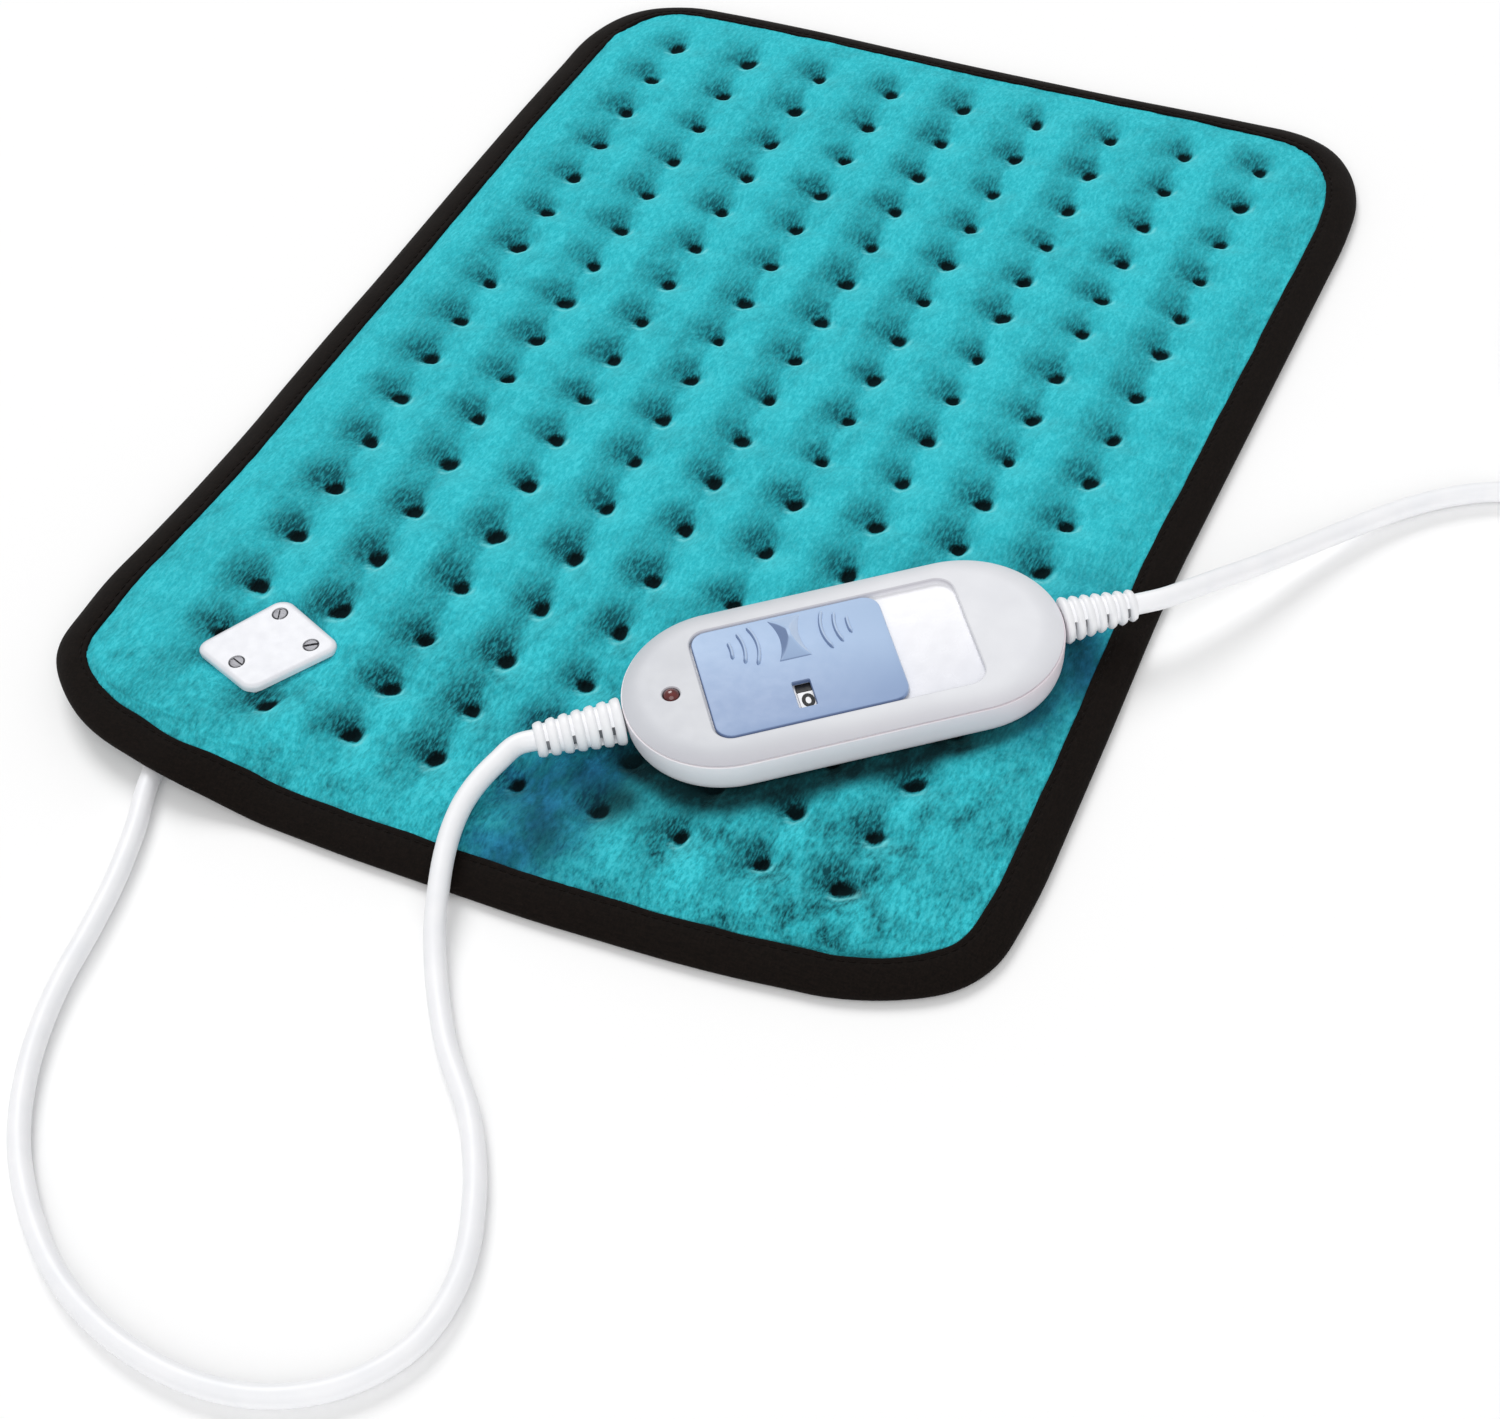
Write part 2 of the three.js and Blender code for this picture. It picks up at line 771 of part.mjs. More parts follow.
addPart('pad_top_cover', makeTopCover(), plushMaterial);
addPart('pad_bottom_cover', makeBottomCover(), backPlushMaterial);
addPart('pad_lower_felt', makeFelt(feltBottom, feltThickness), feltMaterial);
addPart('pad_heat_spreader', makeFelt(spreaderBottom, spreaderThickness), feltMaterial);
addPart('heating_wire', makeHeatingWire(), wireMaterial);
addPart('edge_binding', makeBinding(), bindingMaterial);

// Clamp: plate on top, base and boot underneath, three screws between them

const clampScrews = [
  { x: -clampScrewAcross, y: clampScrewUp, slot: 100 },
  { x: clampScrewAcross, y: clampScrewUp, slot: 48 },
  { x: clampScrewLone, y: -clampScrewUp, slot: 2 },
];
const headSeat = plateTop - screwHeadHeight - screwClearance;
const clampBase = new THREE.Group();
clampBase.position.set(-padWidth / 2 + clampFromLeft, -padLength / 2 + clampFromNear, 0);
clampBase.rotation.z = THREE.MathUtils.degToRad(clampAngle);
root.add(clampBase);

function slottedScrew(head, shank, length, slotAngle) {
  const slotFloor = length - screwSlotDepth;
  const slot = block(head + overrun, screwSlotWidth, slotFloor, length + overrun, screwSlotWidth / 4);
  const body = join(
    post(head, length - screwHeadHeight, length, 0, 0, smallSides),
    post(shank, 0, length - screwHeadHeight / 2),
  );
  return cut(body, slot.rotateZ(THREE.MathUtils.degToRad(slotAngle)));
}

function makeClampPlate() {
  const plate = loft([
    { outline: plateOutline(0), z: plateUnder },
    { outline: plateOutline(0), z: plateTop - clampPlateBevel },
    { outline: plateOutline(clampPlateBevel), z: plateTop },
  ]);
  const holes = clampScrews.flatMap(({ x, y }) => [
    post(clampScrewHead + 2 * screwClearance, headSeat, plateTop + overrun, x, y),
    post(clampScrewShank + 2 * screwClearance, plateUnder - overrun, plateTop, x, y),
  ]);
  return cut(plate, ...holes);
}

function makeClampBase() {
  const blockTop = plateUnder - layerGap;
  const flangeTop = raisedHeight - layerGap;
  const body = join(
    prism(plateOutline(clampFlangeInset), clampFoot, flangeTop),
    prism(plateOutline(clampBlockInset), flangeTop - clampWall, blockTop),
  );
  const screwEnd = headSeat - clampScrewLength + screwHeadHeight;
  const holes = clampScrews.map(({ x, y }) => (
    post(clampScrewShank + 2 * screwClearance, screwEnd - screwClearance, blockTop + overrun, x, y)
  ));
  const pocketLow = clampFoot + clampWall;
  const pocket = block(clampPocketWidth, clampPocketDepth, pocketLow, blockTop + overrun, clampWall);
  return cut(body, pocket, ...holes);
}

function makeClampBoot() {
  const height = cordDiameter;
  const level = (width, z) => ({ outline: roundedOutline(width, height, height / 3, 3), z });
  return loft([
    level(bootRoot, 0),
    level(bootRoot, bootLength / 6),
    level(bootTip, bootLength),
  ]).rotateX(Math.PI / 2).translate(bootFromCentre, -bootStart, cordRest);
}

const pocketFloor = clampFoot + clampWall + layerGap;
addPart('clamp_plate', makeClampPlate(), whiteMaterial, clampBase);
addPart('clamp_base', makeClampBase(), whiteMaterial, clampBase);
clampScrews.forEach(({ x, y, slot }, i) => {
  const screw = slottedScrew(clampScrewHead, clampScrewShank, clampScrewLength, slot);
  const mesh = addPart(`clamp_screw_${i + 1}`, screw, steelMaterial, clampBase);
  mesh.position.set(x, y, headSeat + screwHeadHeight + screwClearance / 2 - clampScrewLength);
});
addPart('clamp_lead_boot', makeClampBoot(), cordMaterial, clampBase);
addPart('thermal_cutout', block(
  clampPocketWidth - 2 * layerGap, cutoutWidth, pocketFloor, pocketFloor + cutoutHeight,
  cutoutWidth / 5, 0, -(clampPocketDepth - cutoutWidth) / 2 + layerGap,
), darkMaterial, clampBase);
[1, 2].forEach((number) => {
  const crimp = rodAlongX(crimpDiameter, -crimpLength / 2, crimpLength / 2);
  const mesh = addPart(`wire_crimp_${number}`, crimp, steelMaterial, clampBase);
  const y = clampPocketDepth / 2 - layerGap - crimpDiameter / 2 - (2 - number) * (crimpDiameter + layerGap);
  mesh.position.set(0, y, pocketFloor + crimpDiameter / 2);
});

// Controller

const controller = new THREE.Group();
const controllerX = padWidth / 2 - controllerFromRight;
const controllerY = -padLength / 2 + controllerFromNear;
const controllerZ = crownHeight + layerGap;
const controllerTurn = THREE.MathUtils.degToRad(controllerAngle);
controller.position.set(controllerX, controllerY, controllerZ);
controller.rotation.z = controllerTurn;
root.add(controller);

const sliderTravel = sliderStep * (sliderStops - 1);
const recessLength = controllerLength - recessFromLeft - recessFromRight;
const sliderLength = recessLength - sliderTravel - 2 * sliderClearance;
const recessWidth = sliderWidth + 2 * sliderClearance;
const recessX = (recessFromLeft - recessFromRight) / 2;
const sliderX = recessX - sliderTravel / 2;
const sliderTop = controllerHeight - sliderBelowFace;
const sliderBottom = sliderTop - sliderThickness;
const recessFloor = sliderBottom - sliderPlayBelow;
const roofUnder = recessFloor - controllerRoof;
const slotLength = sliderTravel + neckLength + 2 * sliderClearance;
const slotX = sliderX + sliderTravel / 2;
const carrierTop = roofUnder - shellJointGap;
const carrierBottom = carrierTop - carrierHeight;
const boardTop = boardBottom + boardThickness;
const seatHeight = boardTop + layerGap;
const endHalf = controllerLength / 2;
const terminalFromMiddle = endHalf - terminalFromEnd;
const boardLength = controllerLength - boardFromLeft - boardFromRight;
const boardX = (boardFromLeft - boardFromRight) / 2;
const stripLow = recessFloor - labelSunk - labelThickness;
const stripX = sliderX - windowFromCentre + sliderTravel / 2;
const stripLength = sliderTravel + stripBeyond;
const pocketLength = stripLength + 2 * labelGap;
const pocketHeight = windowHeight + 2 * labelGap;

function shellLevel(inset, z) {
  const width = controllerWidth - 2 * inset;
  return { outline: roundedOutline(controllerLength - 2 * inset, width, width / 2, 8), z };
}

const reliefBores = () => [-1, 1].map((side) => {
  const width = reliefNeck + 2 * screwClearance;
  const round = rodAlongX(width, -reliefBoreReach, reliefBoreReach, smallSides).translate(0, 0, reliefHeight);
  const open = block(2 * reliefBoreReach, width, reliefHeight, controllerSplit + overrun, width / 8);
  return join(round, open).translate(side * endHalf, 0, 0);
});
const bossX = endHalf - bossFromEnd;
const bossPlaces = [[-1, -1], [1, -1], [1, 1], [-1, 1]].map(([x, y]) => [x * bossX, y * bossFromAxis]);

function makeLowerShell() {
  const outer = loft([
    ...hullDrawn.map(([inset, z]) => shellLevel(inset, z)),
    shellLevel(0, controllerSplit),
  ]);
  const inner = loft([
    ...hullDrawn.map(([inset, z]) => shellLevel(controllerWall + inset, controllerFloor + z)),
    shellLevel(controllerWall, controllerSplit + overrun),
  ]);
  const bosses = bossPlaces.map(([x, y]) => post(bossDiameter, controllerFloor / 2, controllerSplit, x, y));
  const supports = [-1, 1].map((side) => block(
    supportLength, supportWidth, controllerFloor / 2, boardBottom - layerGap,
    supportLength / 4, side * boardLength / 3,
  ));
  const holes = bossPlaces.flatMap(([x, y]) => [
    post(housingScrewHead + 2 * screwClearance, -overrun, screwHeadHeight + screwClearance, x, y),
    post(housingScrewShank + 2 * screwClearance, -overrun, controllerSplit + overrun, x, y),
  ]);
  return cut(join(cut(outer, inner), ...bosses, ...supports), ...holes, ...reliefBores());
}

// The lid: a shallow dome, with the tub that the slider runs in hanging under it
function makeUpperShell() {
  const start = controllerSplit + shellJointGap;
  const outer = loft([
    shellLevel(controllerStep, start),
    ...domeDrawn.map(([inset, rise]) => shellLevel(controllerStep + inset, start + rise)),
    shellLevel(controllerStep + domeFlatDrawn, controllerHeight),
  ]);
  const lidUnder = controllerHeight - controllerRoof;
  const hollow = loft([
    shellLevel(controllerStep + controllerWall, start - overrun),
    shellLevel(controllerStep + controllerWall, start),
    shellLevel(controllerStep + controllerWall + lidHollow, lidUnder),
  ]);
  const tub = block(
    recessLength + 2 * tubWall, recessWidth + 2 * tubWall, roofUnder, lidUnder + controllerRoof / 2,
    recessCorner + tubWall, recessX, 0, 5,
  );
  const bosses = bossPlaces.map(([x, y]) => post(bossDiameter, start, lidUnder + controllerRoof / 2, x, y));
  const boreDiameter = housingScrewShank + 2 * screwClearance;
  const bores = bossPlaces.map(([x, y]) => post(boreDiameter, start - overrun, lidUnder, x, y));
  const recess = block(
    recessLength, recessWidth, recessFloor, controllerHeight + overrun, recessCorner, recessX, 0, 5,
  );
  const slot = block(
    slotLength, neckWidth + 2 * sliderClearance, roofUnder - overrun, recessFloor + overrun,
    sliderClearance, slotX, neckAboveCentre,
  );
  const pocket = block(
    pocketLength, pocketHeight, stripLow - labelGap, recessFloor + overrun,
    labelThickness, stripX, -windowBelowCentre, 1,
  );
  const ledBore = ledDiameter + 2 * screwClearance;
  const ledHole = post(ledBore, roofUnder - overrun, controllerHeight + overrun, ledX, 0, 16);
  return cut(join(cut(outer, hollow), tub, ...bosses), recess, slot, pocket, ledHole, ...bores);
}

// Points of an upright arc beside the grip that bulges towards it, from its near end up
function arcBeside(side, reach, length, radius = gripArcRadius) {
  const half = length / 2 / gripArcRadius;
  return lines(4, -half, half).map((angle) => new THREE.Vector2(
    side * (reach + gripArcRadius - radius * Math.cos(angle)),
    gripAboveCentre + radius * Math.sin(angle),
  ));
}

function ribOutline(side, reach, length) {
  const inner = arcBeside(side, reach, length, gripArcRadius - gripRibWidth);
  return [...arcBeside(side, reach, length), ...inner.reverse()];
}

// The grip: a low four-sided peak whose left and right sides are drawn in
function makeGrip(low) {
  const waist = sliderLength * gripWaistShare;
  const span = sliderWidth * gripSpanShare;
  const foot = [...arcBeside(1, waist, span), ...arcBeside(-1, waist, span).reverse()];
  const peak = foot.map(({ x, y }) => (
    new THREE.Vector2(x * gripPeakShare, gripAboveCentre + (y - gripAboveCentre) * gripPeakShare)
  ));
  return loft([
    { outline: foot, z: low },
    { outline: foot, z: sliderTop },
    { outline: peak, z: sliderTop + gripHeight },
  ]);
}

function makeSlider() {
  const side = roundedOutline(sliderLength, sliderWidth, sliderCorner, 5);
  const face = roundedOutline(
    sliderLength - 2 * sliderEdgeRound, sliderWidth - 2 * sliderEdgeRound, sliderCorner - sliderEdgeRound, 5,
  );
  const plate = loft([
    { outline: side, z: sliderBottom },
    { outline: side, z: sliderTop - sliderEdgeRound },
    { outline: face, z: sliderTop },
  ]);
  const middle = sliderTop - sliderThickness / 2;
  const ribs = gripRibShares.flatMap(([reachShare, lengthShare]) => [-1, 1].map((hand) => prism(
    ribOutline(hand, sliderLength * reachShare, sliderWidth * lengthShare),
    middle, sliderTop + gripRibHeight,
  )));
  const neck = block(neckLength, neckWidth, carrierBottom, middle, neckLength / 4, 0, neckAboveCentre, 2);
  const window = block(
    windowWidth, windowHeight, sliderBottom - overrun, sliderTop + overrun,
    windowWidth / 8, -windowFromCentre, -windowBelowCentre, 2,
  );
  return cut(join(plate, makeGrip(middle), ...ribs, neck), window);
}

function makeCarrier() {
  const body = block(
    carrierLength, carrierWidth, carrierBottom, carrierTop, carrierHeight / 2, 0, neckAboveCentre, 2,
  );
  const neckHole = block(
    neckLength + 2 * screwClearance, neckWidth + 2 * screwClearance,
    carrierBottom - overrun, carrierTop + overrun, neckLength / 4, 0, neckAboveCentre, 2,
  );
  const ballHole = post(
    detentBall + 2 * screwClearance, carrierBottom - overrun, carrierTop + overrun,
    detentFromNeck, neckAboveCentre,
  );
  return cut(body, neckHole, ballHole);
}

function makeContactBridge() {
  const top = carrierBottom - layerGap;
  const foot = seatHeight + contactThickness + layerGap;
  const leg = (side) => block(
    bridgeLength, bridgeThickness, foot, top, bridgeThickness / 4,
    0, neckAboveCentre + side * contactSpread, 1,
  );
  const deck = block(
    bridgeLength, 2 * contactSpread + bridgeThickness, top - bridgeThickness, top, bridgeThickness / 4,
    0, neckAboveCentre, 1,
  );
  return join(deck, leg(-1), leg(1));
}

addPart('controller_lower_shell', makeLowerShell(), housingLowMaterial, controller);
addPart('controller_upper_shell', makeUpperShell(), housingMaterial, controller);
bossPlaces.forEach(([x, y], i) => {
  const screw = slottedScrew(housingScrewHead, housingScrewShank, housingScrewLength, housingSlotAngle * i);
  const mesh = addPart(`housing_screw_${i + 1}`, screw.rotateX(Math.PI), steelMaterial, controller);
  mesh.position.set(x, y, housingScrewLength + screwClearance / 2);
});

const sliderGroup = new THREE.Group();
sliderGroup.position.x = sliderX;
controller.add(sliderGroup);
addPart('level_slider', makeSlider(), sliderMaterial, sliderGroup);
addPart('slider_carrier', makeCarrier(), darkMaterial, sliderGroup);
addPart('contact_bridge', makeContactBridge(), brassMaterial, sliderGroup);
const ballBody = new THREE.SphereGeometry(detentBall / 2, 10, 8);
const ball = addPart('detent_ball', ballBody, steelMaterial, sliderGroup);
ball.position.set(detentFromNeck, neckAboveCentre, carrierTop + detentStand - detentBall / 2);
addPart('detent_leaf', block(
  detentBall * 2, detentBall, carrierBottom - layerGap - detentLeafThickness, carrierBottom - layerGap,
  detentLeafThickness, detentFromNeck, neckAboveCentre, 1,
), brassMaterial, sliderGroup);

const indexHeight = windowHeight * indexShare;
const numberHeight = windowHeight - indexHeight - labelGap;
const windowTop = -windowBelowCentre + windowHeight / 2;
addPart('index_strip', block(
  stripLength, indexHeight, stripLow, stripLow + labelThickness,
  labelThickness, stripX, windowTop - indexHeight / 2, 1,
), darkMaterial, controller);
addPart('number_strip', block(
  stripLength, numberHeight, stripLow, stripLow + labelThickness,
  labelThickness, stripX, windowTop - windowHeight + numberHeight / 2, 1,
), whiteMaterial, controller);

const boardBody = block(boardLength, boardWidth, boardBottom, boardTop, boardCorner, boardX, 0, 4);
addPart('circuit_board', boardBody, boardMaterial, controller);
for (let stop = 0; stop < sliderStops; stop += 1) {
  addPart(`level_contact_${stop}`, block(
    contactLength, contactWidth, seatHeight, seatHeight + contactThickness, contactThickness,
    sliderX + stop * sliderStep, neckAboveCentre - contactSpread, 1,
  ), brassMaterial, controller);
}
addPart('common_contact', block(
  sliderTravel + contactLength, contactWidth, seatHeight, seatHeight + contactThickness, contactThickness,
  sliderX + sliderTravel / 2, neckAboveCentre + contactSpread, 1,
), brassMaterial, controller);

function makeLed() {
  const low = roofUnder - ledSkirt;
  const radius = ledDiameter / 2;
  const domeStart = controllerHeight - radius / 2;
  const profile = [[0, low], [radius, low], [radius, domeStart]];
  for (let step = 1; step <= 4; step += 1) {
    const angle = step / 4 * Math.PI / 2;
    profile.push([radius * Math.cos(angle), domeStart + radius * ledDomeShare * Math.sin(angle)]);
  }
  profile[profile.length - 1][0] = 0;
  const body = lathe(profile, 16).rotateX(Math.PI / 2);
  const legs = [-1, 1].map((side) => (
    post(ledLeg, seatHeight, low + ledSkirt / 2, side * ledLegSpread / 2, 0, 6)
  ));
  return join(body, ...legs).translate(ledX, 0, 0);
}

addPart('indicator_led', makeLed(), ledMaterial, controller);

const terminalMiddle = seatHeight + terminalHeight / 2;

function makeTerminal() {
  const top = seatHeight + terminalHeight;
  const body = block(terminalLength, terminalWidth, seatHeight, top, terminalLength / 8, 0, 0, 1);
  const wells = [-1, 1].map((side) => (
    post(terminalWell, terminalMiddle, top + overrun, 0, side * terminalWidth / 4, 8)
  ));
  return cut(body, ...wells);
}

const coreStart = endHalf + reliefStandOff - reliefInside;
[['left', -1], ['right', 1]].forEach(([name, side]) => {
  const terminal = addPart(`terminal_block_${name}`, makeTerminal(), darkMaterial, controller);
  terminal.position.x = side * terminalFromMiddle;
  [-1, 1].forEach((hand, i) => {
    const from = new THREE.Vector3(side * (coreStart - meetGap), hand * coreSpread / 2, reliefHeight);
    const inner = terminalFromMiddle + terminalLength / 2 + meetGap;
    const to = new THREE.Vector3(side * inner, hand * terminalWidth / 4, terminalMiddle);
    const step = new THREE.Vector3(-side * coreStraight, 0, 0);
    const path = [from, from.clone().add(step), to.clone().sub(step), to];
    const coreMaterial = i === 0 ? wireMaterial : boardMaterial;
    addPart(`core_${name}_${i + 1}`, tube(path, coreDiameter, 6, 8), coreMaterial, controller);
  });
});

const fuseBody = rodAlongX(fuseDiameter, -fuseLength / 2, fuseLength / 2);
const fuse = addPart('fuse', fuseBody, glassMaterial, controller);
fuse.position.set(fuseX, -componentRow, seatHeight + fuseDiameter / 2);
const diodeBody = rodAlongX(diodeDiameter, -diodeLength / 2, diodeLength / 2);
const diode = addPart('half_wave_diode', diodeBody, darkMaterial, controller);
diode.position.set(diodeX, -componentRow, seatHeight + diodeDiameter / 2);
const resistorBody = rodAlongX(resistorDiameter, -resistorLength / 2, resistorLength / 2);
const resistor = addPart('led_resistor', resistorBody, housingMaterial, controller);
resistor.position.set(resistorX, -componentRow, seatHeight + resistorDiameter / 2);
addPart('suppressor_capacitor', block(
  capacitorLength, capacitorWidth, seatHeight, seatHeight + capacitorHeight,
  capacitorWidth / 6, capacitorX, -componentRow, 1,
), wireMaterial, controller);

// Ribbed strain reliefs: a flange held inside the shells, then a tapered sleeve with grooves
function makeRelief() {
  const reliefEnd = reliefInside + reliefLength;
  const profile = [
    [0, 0],
    [reliefFlangeDiameter / 2, 0],
    [reliefFlangeDiameter / 2, reliefFlange],
    [reliefNeck / 2, reliefFlange],
    [reliefNeck / 2, reliefInside],
    [reliefRoot / 2, reliefInside],
  ];
  const pitch = (reliefLength - reliefCollar) / reliefRibs;
  const taper = (reliefTip - reliefRoot) / reliefLength;
  const radiusAt = (height) => (reliefRoot + taper * (height - reliefInside)) / 2;
  for (let rib = 0; rib < reliefRibs; rib += 1) {
    const end = reliefInside + pitch * (rib + 1);
    const start = end - reliefGroove;
    profile.push([radiusAt(start), start], [radiusAt(start) - reliefGrooveDepth, start]);
    profile.push([radiusAt(end) - reliefGrooveDepth, end], [radiusAt(end), end]);
  }
  profile.push([radiusAt(reliefEnd), reliefEnd], [0, reliefEnd]);
  return lathe(profile, 10).rotateX(Math.PI / 2).rotateY(Math.PI / 2);
}

[['left', -1], ['right', 1]].forEach(([name, side]) => {
  const relief = makeRelief().translate(coreStart, 0, 0).rotateZ(side < 0 ? Math.PI : 0);
  addPart(`strain_relief_${name}`, relief.translate(0, 0, reliefHeight), cordMaterial, controller);
});

// Cords: the points between the two ends are places on the floor and over the pad's edge

function inController(x, z) {
  const place = new THREE.Vector3(x, 0, z).applyAxisAngle(new THREE.Vector3(0, 0, 1), controllerTurn);
  return place.add(new THREE.Vector3(controllerX, controllerY, controllerZ));
}

function vectors(points) {
  return points.map(([x, y, z]) => new THREE.Vector3(x, y, z));
}

const reliefReach = endHalf + reliefStandOff + reliefLength + meetGap;
const leadStart = inController(-reliefReach, reliefHeight);
const leadSecond = inController(-reliefReach - cordDiameter, reliefHeight);
const bootMeet = -bootStart - bootLength - meetGap;
const bootEnd = new THREE.Vector3(bootFromCentre, bootMeet, cordRest);
const bootBefore = new THREE.Vector3(bootFromCentre, bootMeet - cordDiameter, cordRest);
const clampTurn = THREE.MathUtils.degToRad(clampAngle);
const clampPlace = clampBase.position;
[bootEnd, bootBefore].forEach((point) => {
  point.applyAxisAngle(new THREE.Vector3(0, 0, 1), clampTurn).add(clampPlace);
});

const padLeadPoints = vectors([
  [1.7, -163.4, 15.1],
  [-0.5, -171.2, 14],
  [-1.4, -178.9, 12.7],
  [-0.7, -187.2, 11.3],
  [1.4, -195.8, 9.9],
  [5, -205.8, 8.2],
  [9, -215.4, 6],
  [14.2, -224.8, 4.3],
  [20.9, -234.9, 3.3],
  [30.4, -247.2, 3.2],
  [47.2, -264.5, 3.2],
  [60.0, -285.0, 3.2],
  [67.4, -306.0, 3.2],
  [66.4, -325.5, 3.2],
  [56.7, -340.9, 3.2],
  [41.0, -351.3, 3.2],
  [22.0, -355.6, 3.2],
  [-2.0, -353.6, 3.2],
  [-25.4, -345.1, 3.2],
  [-44.6, -331.4, 3.2],
  [-60.2, -314.4, 3.2],
  [-71.6, -293.5, 3.2],
  [-78.4, -271.7, 3.2],
  [-81.7, -251.0, 3.2],
  [-85.2, -233.3, 3.2],
  [-90.4, -215.8, 3.2],
  [-96.0, -201.5, 3.2],
]);
const padLeadRoute = [leadStart, leadSecond, ...padLeadPoints, bootBefore, bootEnd];
addPart('pad_lead', tube(padLeadRoute, cordDiameter, cordSides, padLeadSteps), cordMaterial);

// Coil: spirals in on the lower layer, climbs in the half turn at its middle, spirals out above
function coilPoints() {
  const points = [];
  const turns = 2 * coilTurnsPerLayer + 0.5;
  const count = Math.round(turns * coilStepsPerTurn);
  for (let step = 0; step <= count; step += 1) {
    const turn = step / count * turns;
    const wound = Math.min(turn, turns - turn);
    const radius = coilMeanRadius + coilPitch * (coilTurnsPerLayer / 2 - wound);
    const angle = THREE.MathUtils.degToRad(coilStartAngle) + turn * 2 * Math.PI;
    points.push(new THREE.Vector3(
      coilCentreX + radius * Math.cos(angle),
      coilCentreY + radius * Math.sin(angle),
      coilRest + coilPitch * smooth(2 * (turn - coilTurnsPerLayer)),
    ));
  }
  return points;
}

function withStraightEnds(points, straight) {
  const [first, second] = points;
  const [before, last] = points.slice(-2);
  const lead = new THREE.Vector3().subVectors(first, second).setZ(0).setLength(straight).add(first);
  const tail = new THREE.Vector3().subVectors(last, before).setZ(0).setLength(straight).add(last);
  return [lead, ...points, tail];
}

const coil = withStraightEnds(coilPoints(), cordDiameter);
addPart('mains_coil', mitredTube(coil, cordDiameter / 2, coilSides), cordMaterial);

function leastSelfGap(points, diameter) {
  let least = Infinity;
  points.forEach((a, i) => points.slice(i + coilStepsPerTurn / 2).forEach((b) => {
    least = Math.min(least, a.distanceTo(b) - diameter);
  }));
  return least;
}
console.log(`least gap between turns of the coil: ${leastSelfGap(coil, cordDiameter).toFixed(2)} mm`);

function beyond(points, end, distance) {
  const [a, b] = end === 0 ? [points[0], points[1]] : points.slice(-2).reverse();
  return new THREE.Vector3().subVectors(a, b).setLength(distance).add(a);
}

const mainsStart = inController(reliefReach, reliefHeight);
const mainsSecond = inController(reliefReach + cordDiameter, reliefHeight);
const mainsPoints = vectors([
  [158.8, -31.6, 14.8],
  [165.2, -22.6, 13.1],
  [171.4, -13.6, 11.1],
  [179.4, -0.9, 8.3],
  [187.6, 11.9, 5.9],
  [196.3, 24.1, 4.2],
  [205.5, 34.8, 3.5],
  [215.3, 43.2, 3.3],
  [226.5, 49.6, 3.3],
  [248, 56, 3.6],
]);
const mainsEnds = [cordDiameter + meetGap, meetGap].map((distance) => beyond(coil, 0, distance));
const mainsRoute = [mainsStart, mainsSecond, ...mainsPoints, ...mainsEnds];
addPart('mains_lead', tube(mainsRoute, cordDiameter, cordSides, mainsLeadSteps), cordMaterial);

const plug = new THREE.Group();
plug.position.set(plugX, plugY, plugHeight / 2 + plugRest);
plug.rotation.z = THREE.MathUtils.degToRad(plugAngle);
root.add(plug);

function makePlugBody() {
  const level = ([widthShare, heightShare], z) => {
    const [width, height] = [plugWidth * widthShare, plugHeight * heightShare];
    return { outline: roundedOutline(height, width, height * plugRoundShare, 4), z };
  };
  const stations = lines(plugShares.length - 1, 0, plugLength);
  return loft(plugShares.map((shares, i) => level(shares, stations[i]))).rotateY(Math.PI / 2);
}

function makePlugPin(side) {
  const radius = plugPinDiameter / 2;
  const shoulder = plugPinLength - radius;
  const profile = [[0, 0], [radius, 0], [radius, shoulder], [radius / 2, plugPinLength], [0, plugPinLength]];
  const place = [plugLength + meetGap, side * plugPinSpacing / 2, 0];
  return lathe(profile, smallSides).rotateX(Math.PI / 2).rotateY(Math.PI / 2).translate(...place);
}

addPart('plug_body', makePlugBody(), whiteMaterial, plug);
addPart('plug_pin_1', makePlugPin(-1), brassMaterial, plug);
addPart('plug_pin_2', makePlugPin(1), brassMaterial, plug);

const plugTurn = plug.rotation.z;
const plugMouth = (distance) => new THREE.Vector3(-distance, 0, 0)
  .applyAxisAngle(new THREE.Vector3(0, 0, 1), plugTurn)
  .add(plug.position);
const tailPoints = vectors([
  [305.6, 141.5, 9.8],
  [299.6, 154.0, 7.0],
  [291.4, 166.0, 4.6],
]);
const tailRoute = [
  beyond(coil, 1, meetGap), beyond(coil, 1, cordDiameter + meetGap),
  ...tailPoints,
  plugMouth(cordDiameter + meetGap), plugMouth(meetGap),
];
addPart('mains_tail', tube(tailRoute, cordDiameter, cordSides, tailSteps), cordMaterial);

// The tie is a strap round the whole bundle of turns
function makeTie() {
  const width = coilPitch * coilTurnsPerLayer + cordDiameter + 2 * tieClearance;
  const height = coilPitch + cordDiameter + 2 * tieClearance;
  const strap = (grow, from, to) => prism(
    roundedOutline(height + grow, width + grow, cordDiameter / 2 + grow / 2, 3), from, to,
  );
  const ring = cut(strap(2 * tieThickness, -tieWidth / 2, tieWidth / 2), strap(0, -tieWidth, tieWidth));
  const angle = THREE.MathUtils.degToRad(tieAngle);
  return ring.rotateY(Math.PI / 2).rotateZ(angle - Math.PI / 2).translate(
    coilCentreX + coilMeanRadius * Math.cos(angle),
    coilCentreY + coilMeanRadius * Math.sin(angle),
    coilRest + coilPitch / 2,
  );
}

addPart('cord_tie', makeTie(), darkMaterial);

export default root;
